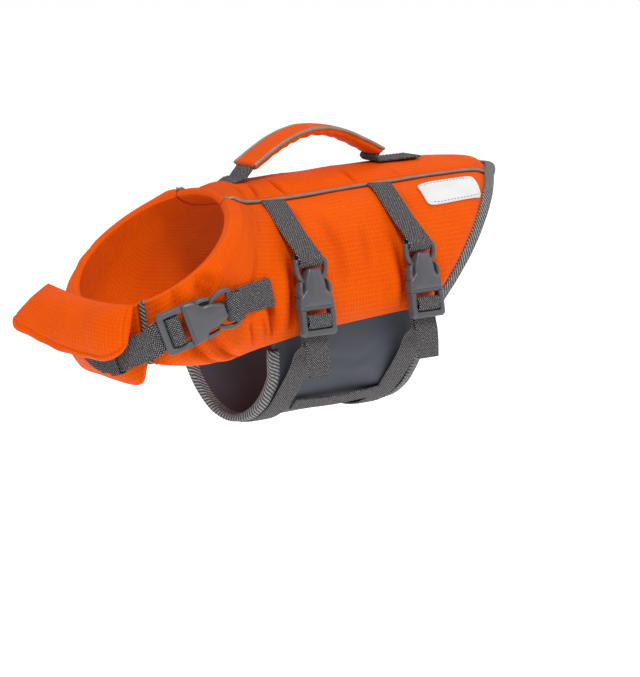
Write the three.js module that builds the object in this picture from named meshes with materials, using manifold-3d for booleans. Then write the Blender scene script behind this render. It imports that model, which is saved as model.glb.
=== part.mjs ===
import * as THREE from 'three';
import Module from 'manifold-3d';
import { mergeVertices } from 'three/addons/utils/BufferGeometryUtils.js';

// Dog life jacket, worn form. Millimetres, +Z up, neck towards -X, tail towards +X, the
// dog's left side towards -Y. The origin is on the inside of the back, at its middle.

const wasm = await Module();
wasm.setup();

// Driving dimensions
const foamThickness = 10;
const edgeThickness = 5;
const spineTop = 0;
const bellyDepth = -134;
const seamGap = 0.3;
const webWidth = 16;
const webThickness = 1.6;
const webLift = 0.6;
const bindingReach = 6;
const bindingWall = 1.2;
const flatMargin = bindingReach + 8;
const pipingRadius = 1.4;
const bellyThickness = 2.5;
const tailLength = 25;

// Sections through the wearer's space, from the tail to the neck. "along" runs along the body,
// the top and low points lie on the mid-plane, and each section is an ellipse between them.
const sections = [
  { name: 'tail', along: 0, topX: 107, topZ: -2, lowX: 107, lowZ: -118, halfWidth: 46 },
  { name: 'loin', along: 47, topX: 60, topZ: 0.8, lowX: 60, lowZ: -128, halfWidth: 51 },
  { name: 'rear strap', along: 107, topX: 0, topZ: spineTop, lowX: 0, lowZ: bellyDepth, halfWidth: 53 },
  { name: 'front strap', along: 186, topX: -79, topZ: -3, lowX: -79, lowZ: bellyDepth, halfWidth: 51 },
  { name: 'shoulder', along: 229, topX: -95, topZ: -3, lowX: -150, lowZ: -126, halfWidth: 52 },
  { name: 'chest', along: 253, topX: -103, topZ: -2, lowX: -178, lowZ: -98, halfWidth: 53 },
  { name: 'neck', along: 278, topX: -110, topZ: 0, lowX: -182, lowZ: -56, halfWidth: 50 },
];

// Lines across a panel, each from its top edge to its low edge, with the grid steps that lead
// to it, the sideways bow of the line and the depth of the seam sewn along it.
const even = (cells) => Array.from({ length: cells }, (_, k) => (k + 1) / cells);
const besideBinding = [0.08, 0.19, 0.33, 0.49, 0.65, 0.82, 1];
const spineLines = [
  { name: 'tail', steps: [], topAlong: 13, topAngle: 20.9, lowAlong: 13, lowAngle: -20.9, bow: -13, seam: 0 },
  { name: 'rear strap', steps: besideBinding, topAlong: 107, topAngle: 23.4, lowAlong: 107, lowAngle: -23.4, bow: 0, seam: 0 },
  { name: 'front strap', steps: even(7), topAlong: 186, topAngle: 24.6, lowAlong: 186, lowAngle: -24.6, bow: 0, seam: 0 },
  { name: 'nape', steps: even(4), topAlong: 278, topAngle: 25, lowAlong: 278, lowAngle: -25, bow: 0, seam: 0 },
];
const flankLines = [
  { name: 'rear edge', steps: [], topAlong: 13, topAngle: 21.5, lowAlong: 89, lowAngle: 93, bow: -6, seam: 0 },
  { name: 'rear strap', steps: besideBinding, topAlong: 107, topAngle: 24, lowAlong: 107, lowAngle: 92.5, bow: 0, seam: 0 },
  { name: 'front strap', steps: even(7), topAlong: 186, topAngle: 25.2, lowAlong: 186, lowAngle: 96.5, bow: 0, seam: 0 },
  { name: 'nape', steps: even(4), topAlong: 278, topAngle: 26, lowAlong: 216, lowAngle: 103, bow: 0, seam: 0 },
  { name: 'rear quilt seam', steps: even(6), topAlong: 278, topAngle: 100, lowAlong: 223, lowAngle: 106, bow: 0, seam: 3.2 },
  { name: 'front quilt seam', steps: even(2), topAlong: 278, topAngle: 117, lowAlong: 233, lowAngle: 110, bow: 0, seam: 3.2 },
  { name: 'chest', steps: even(2), topAlong: 278, topAngle: 130, lowAlong: 245, lowAngle: 122, bow: 0, seam: 0 },
];
const leftEnd = [
  { name: 'closure', steps: [0.5, 0.7, 1], topAlong: 278, topAngle: 138.6, lowAlong: 255, lowAngle: 138.6, bow: 0, seam: 0 },
];
const rightEnd = [
  { name: 'breast', steps: even(6), topAlong: 278, topAngle: 180, lowAlong: 255, lowAngle: 180, bow: 0, seam: 0 },
  { name: 'closure', steps: even(5), topAlong: 278, topAngle: 218.4, lowAlong: 245.5, lowAngle: 218.4, bow: 0, seam: 0 },
];
const flankRows = [0, 0.07, 0.16, 0.3, 0.45, 0.6, 0.74, 0.86, 0.94, 1];
const spineRows = [0, 0.09, 0.22, 0.4, 0.6, 0.78, 0.91, 1];

// Soft folds pressed into the foam: place on the panel's lines, stretch along them, depth and width
const folds = [
  { name: 'shoulder pucker', line: 3.5, from: 0.05, to: 0.5, depth: 2.4, width: 6 },
  { name: 'front strap sag', line: 2.5, from: 0.5, to: 1, depth: 1.8, width: 6 },
  { name: 'flank sag', line: 1.5, from: 0.35, to: 0.95, depth: 1.2, width: 9 },
];

const orange = { color: 0xff6a00, roughness: 0.75, metalness: 0 };
const webGrey = { color: 0x6b6b6d, roughness: 0.85, metalness: 0 };
const bellyGrey = { color: 0x474b55, roughness: 0.8, metalness: 0 };
const pipingGrey = { color: 0xa08276, roughness: 0.5, metalness: 0 };
const plasticGrey = { color: 0x515359, roughness: 0.45, metalness: 0 };
const labelWhite = { color: 0xf0f0ec, roughness: 0.7, metalness: 0 };

const jacket = new THREE.Group();
jacket.name = 'dog_life_jacket';

function add(name, geometry, finish) {
  const mesh = new THREE.Mesh(geometry, new THREE.MeshStandardMaterial(finish));
  mesh.name = name;
  jacket.add(mesh);
}

// Smooth curve through a table's rows that never overshoots between two of them
function curveThrough(xs, ys) {
  const rise = xs.slice(1).map((x, i) => (ys[i + 1] - ys[i]) / (x - xs[i]));
  const slopes = xs.map((x, i) => {
    if (i === 0) return rise[0];
    if (i === xs.length - 1) return rise[i - 1];
    if (rise[i - 1] * rise[i] <= 0) return 0;
    const before = xs[i] - xs[i - 1];
    const after = xs[i + 1] - xs[i];
    return (3 * (before + after)) / ((2 * after + before) / rise[i - 1] + (after + 2 * before) / rise[i]);
  });
  return (x) => {
    let i = 0;
    while (i < xs.length - 2 && x > xs[i + 1]) i += 1;
    const step = xs[i + 1] - xs[i];
    const t = Math.min(Math.max((x - xs[i]) / step, 0), 1);
    const rising = ys[i + 1] - ys[i];
    const bend = (1 - t) * slopes[i] * step - t * slopes[i + 1] * step + (2 * t - 1) * rising;
    return ys[i] * (1 - t) + ys[i + 1] * t + t * (1 - t) * bend;
  };
}

function tableCurves(rows, at, keys) {
  return Object.fromEntries(keys.map((key) => [key, curveThrough(at, rows.map((row) => row[key]))]));
}

const shape = tableCurves(
  sections,
  sections.map((row) => row.along),
  ['topX', 'topZ', 'lowX', 'lowZ', 'halfWidth'],
);

function bodyPoint(along, angle) {
  const turn = THREE.MathUtils.degToRad(angle);
  const top = new THREE.Vector3(shape.topX(along), 0, shape.topZ(along));
  const low = new THREE.Vector3(shape.lowX(along), 0, shape.lowZ(along));
  const centre = top.clone().add(low).multiplyScalar(0.5);
  const half = top.sub(low).multiplyScalar(0.5 * Math.cos(turn));
  return centre.add(half).add(new THREE.Vector3(0, -shape.halfWidth(along) * Math.sin(turn), 0));
}

function bodyNormal(along, angle) {
  const start = Math.min(Math.max(along, 1), 277) - 0.5;
  const forward = bodyPoint(start + 1, angle).sub(bodyPoint(start, angle));
  const round = bodyPoint(along, angle + 0.5).sub(bodyPoint(along, angle - 0.5));
  return forward.cross(round).normalize();
}

function skin(along, angle, offset) {
  return bodyPoint(along, angle).addScaledVector(bodyNormal(along, angle), offset);
}

// A panel is a set of lines; a place on it is a line number and a share of the way down
function makePanel(lines, side) {
  const at = lines.map((line, i) => i);
  const edge = tableCurves(lines, at, ['topAlong', 'topAngle', 'lowAlong', 'lowAngle', 'bow']);
  const columns = [0];
  lines.forEach((line, i) => {
    line.steps.forEach((step) => columns.push(i - 1 + step));
  });
  return { lines, side, edge, columns, last: lines.length - 1 };
}

function place(panel, line, share) {
  const { edge, side } = panel;
  const along = edge.topAlong(line) * (1 - share) + edge.lowAlong(line) * share
    + edge.bow(line) * 4 * share * (1 - share);
  const angle = edge.topAngle(line) * (1 - share) + edge.lowAngle(line) * share;
  return { along, angle: angle * side };
}

function pathLength(panel, from, to) {
  const steps = 5;
  let total = 0;
  let last = null;
  for (let i = 0; i <= steps; i += 1) {
    const t = i / steps;
    const spot = place(panel, from[0] + (to[0] - from[0]) * t, from[1] + (to[1] - from[1]) * t);
    const point = bodyPoint(spot.along, spot.angle);
    if (last) total += point.distanceTo(last);
    last = point;
  }
  return total;
}

function swell(distance, ramp) {
  const t = Math.min(Math.max(distance / ramp, 0), 1);
  return Math.sin((Math.PI / 2) * t);
}

function thickness(panel, line, share) {
  const across = pathLength(panel, [line, 0], [line, 1]);
  const fromRear = pathLength(panel, [0, share], [line, share]);
  const fromFront = pathLength(panel, [line, share], [panel.last, share]);
  const puff = swell(share * across, 13) * swell((1 - share) * across, 14)
    * swell(fromRear - flatMargin, 10) * swell(fromFront - flatMargin, 9);
  let depth = 0;
  panel.lines.forEach((row, i) => {
    const away = pathLength(panel, [line, share], [i, share]);
    depth += row.seam * Math.exp(-((away / 4) ** 2));
  });
  if (panel.lines !== spineLines) {
    folds.forEach((fold) => {
      const away = pathLength(panel, [line, share], [fold.line, share]);
      const t = (share - fold.from) / (fold.to - fold.from);
      const fade = t > 0 && t < 1 ? Math.sin(Math.PI * t) : 0;
      depth += fold.depth * fade * Math.exp(-((away / fold.width) ** 2));
    });
  }
  return edgeThickness + (foamThickness - edgeThickness) * puff - depth * puff;
}

function onPanel(panel, line, share, lift) {
  const spot = place(panel, line, share);
  return skin(spot.along, spot.angle, thickness(panel, line, share) + lift);
}

// Line number where a panel passes a given place along the body, at a share of the way down
function lineAt(panel, share, along) {
  let low = 0;
  let high = panel.last;
  for (let i = 0; i < 24; i += 1) {
    const middle = (low + high) / 2;
    if (place(panel, middle, share).along < along) low = middle;
    else high = middle;
  }
  return low;
}

// Solids from points
function solidFrom(points, faces) {
  let volume = 0;
  faces.forEach(([a, b, c]) => {
    volume += points[a].dot(points[b].clone().cross(points[c]));
  });
  const positions = [];
  faces.forEach(([a, b, c]) => {
    const order = volume > 0 ? [a, b, c] : [a, c, b];
    order.forEach((k) => positions.push(...points[k].toArray()));
  });
  const geometry = new THREE.BufferGeometry();
  geometry.setAttribute('position', new THREE.Float32BufferAttribute(positions, 3));
  const merged = mergeVertices(geometry, 1e-4);
  merged.computeVertexNormals();
  return merged;
}

function shell(outer, inner) {
  const rows = outer.length;
  const columns = outer[0].length;
  const points = [...outer.flat(), ...inner.flat()];
  const half = rows * columns;
  const faces = [];
  const quad = (a, b, c, d) => faces.push([a, b, c], [a, c, d]);
  for (let i = 0; i < rows - 1; i += 1) {
    for (let j = 0; j < columns - 1; j += 1) {
      const a = i * columns + j;
      quad(a, a + 1, a + columns + 1, a + columns);
      quad(half + a, half + a + columns, half + a + columns + 1, half + a + 1);
    }
  }
  for (let j = 0; j < columns - 1; j += 1) {
    const b = (rows - 1) * columns + j;
    quad(j, half + j, half + j + 1, j + 1);
    quad(b, b + 1, half + b + 1, half + b);
  }
  for (let i = 0; i < rows - 1; i += 1) {
    const a = i * columns;
    const b = a + columns - 1;
    quad(a, a + columns, half + a + columns, half + a);
    quad(b, half + b, half + b + columns, b + columns);
  }
  return solidFrom(points, faces);
}

// A section carried along frames { at, a, b }: a section point (x, y) lies at + x a + y b
function sweep(section, frames) {
  const n = section.length;
  const points = frames.flatMap(({ at, a, b }) => section.map(
    ([x, y]) => at.clone().addScaledVector(a, x).addScaledVector(b, y),
  ));
  const faces = [];
  for (let i = 0; i < frames.length - 1; i += 1) {
    for (let j = 0; j < n; j += 1) {
      const p = i * n + j;
      const q = i * n + ((j + 1) % n);
      faces.push([p, q, q + n], [p, q + n, p + n]);
    }
  }
  const cap = THREE.ShapeUtils.triangulateShape(section.map(([x, y]) => new THREE.Vector2(x, y)), []);
  const end = (frames.length - 1) * n;
  const turned = THREE.ShapeUtils.area(section.map(([x, y]) => new THREE.Vector2(x, y))) > 0;
  cap.forEach(([a, b, c]) => {
    const face = turned ? [a, c, b] : [a, b, c];
    faces.push(face, [end + face[0], end + face[2], end + face[1]]);
  });
  return solidFrom(points, faces);
}

function band(width, thick) {
  const x = width / 2;
  const y = thick / 2;
  return [[-x, -y], [x, -y], [x, y], [-x, y]];
}

// A round section, or with a fullness below 1 one with fuller corners
function roundSection(radiusX, radiusY, sides, fullness = 1) {
  const full = (value) => Math.sign(value) * Math.abs(value) ** fullness;
  return Array.from({ length: sides }, (_, i) => {
    const turn = (2 * Math.PI * (i + 0.5)) / sides;
    return [radiusX * full(Math.cos(turn)), radiusY * full(Math.sin(turn))];
  });
}

// Frames for a path with a known outward direction at each point: a lies across the path
function framesAlong(points, outward) {
  return points.map((at, i) => {
    const before = points[Math.max(i - 1, 0)];
    const after = points[Math.min(i + 1, points.length - 1)];
    const tangent = after.clone().sub(before).normalize();
    const a = tangent.clone().cross(outward[i]).normalize();
    const b = a.clone().cross(tangent).normalize();
    return { at, a, b };
  });
}

// Frames for a path that stays in a plane across the body: a is the body's length
function framesInPlane(points) {
  const across = new THREE.Vector3(1, 0, 0);
  return points.map((at, i) => {
    const into = at.clone().sub(points[Math.max(i - 1, 0)]).normalize();
    const out = points[Math.min(i + 1, points.length - 1)].clone().sub(at).normalize();
    const tangent = into.clone().add(out).normalize();
    const b = across.clone().cross(tangent).normalize();
    const half = Math.max(i === 0 || i === points.length - 1 ? 1 : tangent.dot(out), 0.6);
    return { at, a: across, b: b.multiplyScalar(1 / half) };
  });
}

// Panels of covered foam
function foamPanel(panel, rows) {
  const outer = panel.columns.map((line) => rows.map((share) => onPanel(panel, line, share, 0)));
  const inner = panel.columns.map((line) => rows.map((share) => {
    const spot = place(panel, line, share);
    return skin(spot.along, spot.angle, 0);
  }));
  return shell(outer, inner);
}

const spine = makePanel(spineLines, 1);
const left = makePanel([...flankLines, ...leftEnd], 1);
const right = makePanel([...flankLines, ...rightEnd], -1);
add('spine_panel', foamPanel(spine, spineRows), orange);
add('flank_left', foamPanel(left, flankRows), orange);
add('flank_right', foamPanel(right, flankRows), orange);

// Reflective piping along the two seams of the spine strip
[left, right].forEach((panel) => {
  const lines = panel.columns.filter((line) => line <= 3).map((line) => Math.min(Math.max(line, 0.09), 2.99));
  const points = lines.map((line) => {
    const spot = place(panel, line, 0);
    return skin(spot.along, spot.angle - 0.2 * panel.side, edgeThickness + pipingRadius + 0.9);
  });
  const outward = lines.map((line) => {
    const spot = place(panel, line, 0);
    return bodyNormal(spot.along, spot.angle);
  });
  const name = panel === left ? 'piping_left' : 'piping_right';
  add(name, sweep(roundSection(pipingRadius, pipingRadius, 6), framesAlong(points, outward)), pipingGrey);
});

// Binding folded over an edge: x runs in over the panel, y runs outwards from its inner face
function bindingSection(reach, panelThickness) {
  const wall = bindingWall;
  const gap = seamGap;
  const fall = reach ** 2 / 70;
  return [
    [reach, panelThickness + gap + wall + 0.1], [-gap - wall, panelThickness + gap + wall],
    [-gap - wall, -gap - wall], [reach, -gap - wall - fall], [reach, -gap - fall], [-gap, -gap],
    [-gap, panelThickness + gap], [reach, panelThickness + gap + 0.1],
  ];
}

function bindingFrames(spots, inward) {
  const points = spots.map((spot) => skin(spot.along, spot.angle, spot.offset ?? 0));
  return points.map((at, i) => {
    const before = points[Math.max(i - 1, 0)];
    const after = points[Math.min(i + 1, points.length - 1)];
    const tangent = after.clone().sub(before).normalize();
    const b = bodyNormal(spots[i].along, spots[i].angle);
    const a = tangent.cross(b).normalize();
    const ahead = skin(spots[i].along + inward.along, spots[i].angle + inward.angle, 0).sub(at);
    if (a.dot(ahead) < 0) a.negate();
    return { at, a, b };
  });
}

const rearEdge = [
  ...flankRows.slice().reverse().map((share) => place(left, 0, share)),
  ...spineRows.slice(1, -1).map((share) => place(spine, 0, share)),
  ...flankRows.map((share) => place(right, 0, share)),
];
add(
  'binding_rear',
  sweep(bindingSection(bindingReach, edgeThickness), bindingFrames(rearEdge, { along: 4, angle: 0 })),
  webGrey,
);
const closureEdge = flankRows.map((share) => place(left, left.last, share));
add(
  'binding_closure',
  sweep(bindingSection(bindingReach - 1, edgeThickness), bindingFrames(closureEdge, { along: 0, angle: -3 })),
  webGrey,
);

// Belly panel: one thin sheet under the flanks' lower edges, bound in front and behind
const bellyEdges = [
  { name: 'left tuck', angle: 86, rear: 104, front: 205 },
  { name: 'left hem', angle: 96, rear: 100, front: 203 },
  { name: 'left side', angle: 105, rear: 91, front: 202 },
  { name: 'left low', angle: 125, rear: 91, front: 197 },
  { name: 'middle', angle: 180, rear: 91, front: 195 },
  { name: 'right low', angle: 235, rear: 91, front: 197 },
  { name: 'right side', angle: 255, rear: 91, front: 202 },
  { name: 'right hem', angle: 264, rear: 100, front: 203 },
  { name: 'right tuck', angle: 274, rear: 104, front: 205 },
];
const bellyFront = curveThrough(bellyEdges.map((row) => row.angle), bellyEdges.map((row) => row.front));
const bellyRear = curveThrough(bellyEdges.map((row) => row.angle), bellyEdges.map((row) => row.rear));
const bellyOuter = -seamGap;
const bellyCells = 9;
const bellyHalf = [86, 91, 96, 100, 105, 112, 121, 131, 143, 155, 168];
const bellyAngles = [...bellyHalf, 180, ...bellyHalf.map((angle) => 360 - angle).reverse()];
function bellyGrid(offset) {
  return bellyAngles.map((angle) => Array.from({ length: bellyCells + 1 }, (_, j) => {
    const t = j / bellyCells;
    return skin(bellyRear(angle) * (1 - t) + bellyFront(angle) * t, angle, offset);
  }));
}
add('belly_panel', shell(bellyGrid(bellyOuter), bellyGrid(bellyOuter - bellyThickness)), bellyGrey);

[
  { name: 'binding_belly_front', edge: bellyFront, inward: { along: -4, angle: 0 } },
  { name: 'binding_belly_rear', edge: bellyRear, inward: { along: 4, angle: 0 } },
].forEach(({ name, edge, inward }) => {
  const spots = bellyAngles.filter((angle) => angle > 104 && angle < 256).map((angle) => (
    { along: edge(angle), angle, offset: bellyOuter - bellyThickness }
  ));
  add(name, sweep(bindingSection(5, bellyThickness), bindingFrames(spots, inward)), webGrey);
});

// Side-release buckle. Local axes: x across, y along towards the fixed loop, z outwards.
const buckle = {
  halfWidth: 12,
  loopEnd: 21.4,
  slotHalf: 8.7,
  plateBack: 3.4,
  plateFront: 7.2,
  shellFront: 8.6,
  liftOff: 0.8,
};

function outline(points) {
  return points.map(([x, y]) => new THREE.Vector2(x, y));
}

function plate(points, holes, back, front, bevel) {
  const drawn = new THREE.Shape(outline(points));
  drawn.holes = holes.map((hole) => new THREE.Path(outline(hole)));
  const settings = { depth: front - back - 2 * bevel, bevelEnabled: bevel > 0, bevelThickness: bevel };
  settings.bevelSize = bevel;
  settings.bevelOffset = -bevel;
  settings.bevelSegments = 1;
  const geometry = new THREE.ExtrudeGeometry(drawn, settings);
  geometry.translate(0, 0, back + bevel);
  geometry.deleteAttribute('normal');
  geometry.deleteAttribute('uv');
  const merged = mergeVertices(geometry, 1e-4);
  return new wasm.Manifold(new wasm.Mesh({
    numProp: 3,
    vertProperties: Float32Array.from(merged.attributes.position.array),
    triVerts: Uint32Array.from(merged.index.array),
  }));
}

function mirrored(points) {
  return [...points, ...points.slice().reverse().map(([x, y]) => [-x, y])];
}

function placed(solid, frame) {
  const mesh = solid.getMesh();
  const geometry = new THREE.BufferGeometry();
  geometry.setAttribute('position', new THREE.BufferAttribute(Float32Array.from(mesh.vertProperties), 3));
  geometry.setIndex(new THREE.BufferAttribute(Uint32Array.from(mesh.triVerts), 1));
  geometry.applyMatrix4(frame);
  const merged = mergeVertices(geometry, 1e-4);
  merged.computeVertexNormals();
  return merged;
}

const w = buckle.halfWidth;
const loopFrame = plate(
  mirrored([[w - 0.6, -2], [w, 6], [w - 1, 15], [w - 3.2, buckle.loopEnd]]),
  [mirrored([[5, 7.4], [8.2, 7.4], [buckle.slotHalf, 11], [buckle.slotHalf, 18.2]]).concat([[-2, 14.8], [2, 14.8]])],
  1.6,
  4.8,
  0,
);
const housing = plate(
  mirrored([[11, -4], [11, -1.4], [8.8, -0.4], [8.8, 5], [11, 6], [9.8, 8.4], [5, 9.8], [2.5, 14]]),
  [],
  0.4,
  buckle.shellFront,
  0.9,
);
const femalePart = loopFrame.add(housing);
const slots = [[-19.3, -13], [-10.4, -6.8]].map(([low, high]) => (
  mirrored([[buckle.slotHalf, low], [buckle.slotHalf, high]])
));
const malePlate = plate(
  mirrored([[w - 1.4, -22], [w, -20.6], [w, -5.4], [w - 0.6, -4.3]]),
  slots,
  buckle.plateBack,
  buckle.plateFront,
  0,
);
const maleShoulder = plate(mirrored([[w, -6.4], [w - 0.6, -4.3]]), [], 0.6, buckle.shellFront, 0);
const malePart = malePlate.add(maleShoulder);

function addBuckle(name, frame) {
  add(`${name}_female`, placed(femalePart, frame), plasticGrey);
  add(`${name}_male`, placed(malePart, frame), plasticGrey);
}

function frameAt(at, up, outward) {
  const z = outward.clone().normalize();
  const x = up.clone().cross(z).normalize();
  const y = z.clone().cross(x);
  return new THREE.Matrix4().makeBasis(x, y, z).setPosition(at);
}

function local(frame, y, z) {
  return new THREE.Vector3(0, y, z).applyMatrix4(frame);
}

// Webbing threaded through the adjuster: along the buckle and outwards, from the free tail's
// side to the side that carries the load
const threading = [
  { along: -21.5, out: 2.2 }, { along: -18.2, out: 2.7 }, { along: -16.3, out: 5.3 },
  { along: -14.7, out: 7.9 }, { along: -13.1, out: 8.5 }, { along: -11, out: 8.5 },
  { along: -9.5, out: 7.8 }, { along: -9.1, out: 6.4 }, { along: -9.1, out: 2.4 },
  { along: -9.7, out: 0.9 }, { along: -11.4, out: 0.4 }, { along: -21.5, out: 0.2 },
];

// Webbing folded round the loop's bar, from the outer layer back to the under layer
function loopFold(frame, under) {
  const bar = { along: 19.8, out: 3.2 };
  const reach = 3.3;
  const turns = [0, 30, 70, 110, 150, 180];
  return [
    ...turns.map((turn) => {
      const t = THREE.MathUtils.degToRad(turn);
      return local(frame, bar.along - reach * Math.sin(t) * 1.05, bar.out + reach * Math.cos(t));
    }),
    ...under.map((row) => local(frame, bar.along + row.along, bar.out - reach - row.drop)),
  ];
}

// Girth straps. On the left an upper web runs from the piping to the buckle's loop, and the
// lower web runs from its free tail through the adjuster, under the belly and up the right side.
const girths = [
  { name: 'front', line: 2, along: 186, buckleShare: 0.738 },
  { name: 'rear', line: 1, along: 107, buckleShare: 0.764 },
];
const underBelly = [
  { angle: 104, lift: 8.4 },
  { angle: 112, lift: 6 }, { angle: 120, lift: 3.6 }, { angle: 130, lift: 1.8 },
  { angle: 142, lift: 1.3 }, { angle: 154, lift: 1.3 }, { angle: 167, lift: 1.3 },
  { angle: 180, lift: 1.3 }, { angle: 193, lift: 1.3 }, { angle: 206, lift: 1.3 },
  { angle: 218, lift: 1.3 }, { angle: 230, lift: 1.4 }, { angle: 241, lift: 1.9 },
  { angle: 250, lift: 3 }, { angle: 256.5, lift: 5 }, { angle: 261, lift: 7.4 },
];
const rightShares = [0.93, 0.86, 0.79, 0.7, 0.6, 0.5, 0.4, 0.3, 0.2, 0.12, 0.05];
const webMiddle = webLift + webThickness / 2;

girths.forEach((girth) => {
  const centre = onPanel(left, girth.line, girth.buckleShare, buckle.liftOff);
  const spot = place(left, girth.line, girth.buckleShare);
  const outward = bodyNormal(spot.along, spot.angle);
  outward.x = 0;
  const up = new THREE.Vector3(1, 0, 0).cross(outward).negate();
  if (up.z < 0) up.negate();
  const frame = frameAt(centre, up, outward);
  addBuckle(`buckle_${girth.name}`, frame);

  const upper = [0.045, 0.09, 0.14, 0.19, 0.24].map((share) => onPanel(left, girth.line, share, webMiddle));
  upper.forEach((point) => point.setX(centre.x));
  const upperPath = [
    ...upper, local(frame, 29, 1.6), local(frame, 23.5, 5.4), ...loopFold(frame, [{ along: 3.6, drop: 0.2 }]),
  ];
  add(`web_${girth.name}_upper`, sweep(band(webWidth, webThickness), framesInPlane(upperPath)), webGrey);

  const tail = [
    local(frame, -21.5 - tailLength, 1.4), local(frame, -21.5 - tailLength * 0.66, 2.6),
    local(frame, -21.5 - tailLength * 0.33, 2.7),
  ];
  const threaded = threading.map((row) => local(frame, row.along, row.out));
  const below = underBelly.map((row) => skin(girth.along, row.angle, bellyOuter + row.lift));
  const sewn = rightShares.map((share) => onPanel(right, girth.line, share, webMiddle));
  const lowerPath = [...tail, ...threaded, local(frame, -27, -0.8), ...below, ...sewn];
  lowerPath.forEach((point) => point.setX(centre.x));
  add(`web_${girth.name}_lower`, sweep(band(webWidth, webThickness), framesInPlane(lowerPath)), webGrey);
});

// Narrow web along each side of the belly, from one girth strap to the other
const sideWeb = {
  angle: 143, lift: 2.4, width: 10, from: 107 + webWidth / 2 + 0.4, to: 186 - webWidth / 2 - 0.4,
};
[1, -1].forEach((side) => {
  const points = [];
  const outward = [];
  for (let i = 0; i <= 6; i += 1) {
    const along = sideWeb.from + ((sideWeb.to - sideWeb.from) * i) / 6;
    points.push(skin(along, sideWeb.angle * side, bellyOuter + sideWeb.lift));
    outward.push(bodyNormal(along, sideWeb.angle * side));
  }
  const name = side > 0 ? 'belly_web_left' : 'belly_web_right';
  add(name, sweep(band(sideWeb.width, webThickness), framesAlong(points, outward)), webGrey);
});

// Handle: a padded grip on two webbing feet, in the mid-plane
const grip = { width: 19, thick: 6.4, rise: -2 };
const gripPath = [
  { x: 16, z: 17.6 }, { x: 9, z: 21.2 }, { x: 0, z: 25.2 }, { x: -8, z: 28.6 }, { x: -16, z: 31.2 },
  { x: -25, z: 33 }, { x: -34, z: 33.2 }, { x: -44, z: 31.6 }, { x: -54, z: 28.4 }, { x: -64, z: 23.6 },
  { x: -72, z: 19 }, { x: -79, z: 14.8 },
];

function midPlanePath(rows, sideways) {
  const points = rows.map((row) => new THREE.Vector3(row.x, sideways, row.z));
  return new THREE.CatmullRomCurve3(points, false, 'centripetal');
}

function midPlaneFrames(points) {
  return points.map((at, i) => {
    const after = points[Math.min(i + 1, points.length - 1)];
    const tangent = after.clone().sub(points[Math.max(i - 1, 0)]).normalize();
    const a = new THREE.Vector3(0, 1, 0);
    return { at, a, b: a.clone().cross(tangent).normalize() };
  });
}

const gripPoints = midPlanePath(gripPath, 0).getSpacedPoints(20);
const gripSection = roundSection(grip.width / 2, grip.thick / 2, 14, 0.6);
add('handle_grip', sweep(gripSection, midPlaneFrames(gripPoints)), orange);
[1, -1].forEach((side) => {
  const y = side * (grip.width / 2 + pipingRadius * 0.8 - 0.4);
  const points = midPlaneFrames(gripPoints).map(({ at, b }) => at.clone().setY(y).addScaledVector(b, -grip.rise));
  const section = roundSection(pipingRadius * 0.8, pipingRadius * 0.8, 6);
  add(side < 0 ? 'handle_piping_left' : 'handle_piping_right', sweep(section, midPlaneFrames(points)), pipingGrey);
});

function topOfSpine(x, lift) {
  const share = 0.5;
  let low = 0;
  let high = spine.last;
  for (let i = 0; i < 24; i += 1) {
    const middle = (low + high) / 2;
    if (onPanel(spine, middle, share, 0).x > x) low = middle;
    else high = middle;
  }
  return onPanel(spine, low, share, lift);
}

const feet = [
  { name: 'rear', end: 0, towards: 1, bend: 17.5, reach: 30.5 },
  { name: 'front', end: 20, towards: -1, bend: -84, reach: 11 },
];
feet.forEach((foot) => {
  const from = gripPoints[foot.end];
  const next = gripPoints[foot.end === 0 ? 1 : foot.end - 1];
  const away = from.clone().sub(next).normalize();
  const start = from.clone().addScaledVector(away, 0.9);
  const turn = topOfSpine(foot.bend, webMiddle + 2.6).add(new THREE.Vector3(-1.2 * foot.towards, 0, 0));
  const flat = Array.from({ length: 6 }, (_, i) => (
    topOfSpine(foot.bend + foot.towards * (1.6 + ((foot.reach - 1.6) * i) / 5), webMiddle)
  ));
  const middle = start.clone().lerp(turn, 0.5);
  const path = [start, middle, turn, ...flat].map((point) => point.setY(0));
  add(`handle_web_${foot.name}`, sweep(band(webWidth, webThickness), midPlaneFrames(path)), webGrey);
});

// Label patch between the left seam and the rear strap, plain
const label = { fromAlong: 40, toAlong: 84, fromShare: 0.1, toShare: 0.31, thick: 1.1, lift: 1.2 };
function labelGrid(lift) {
  return Array.from({ length: 6 }, (_, i) => {
    const share = label.fromShare + ((label.toShare - label.fromShare) * i) / 5;
    return Array.from({ length: 9 }, (__, j) => {
      const along = label.fromAlong + ((label.toAlong - label.fromAlong) * j) / 8;
      return onPanel(left, lineAt(left, share, along), share, lift);
    });
  });
}
add('label_patch', shell(labelGrid(label.lift + label.thick), labelGrid(label.lift)), labelWhite);

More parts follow.
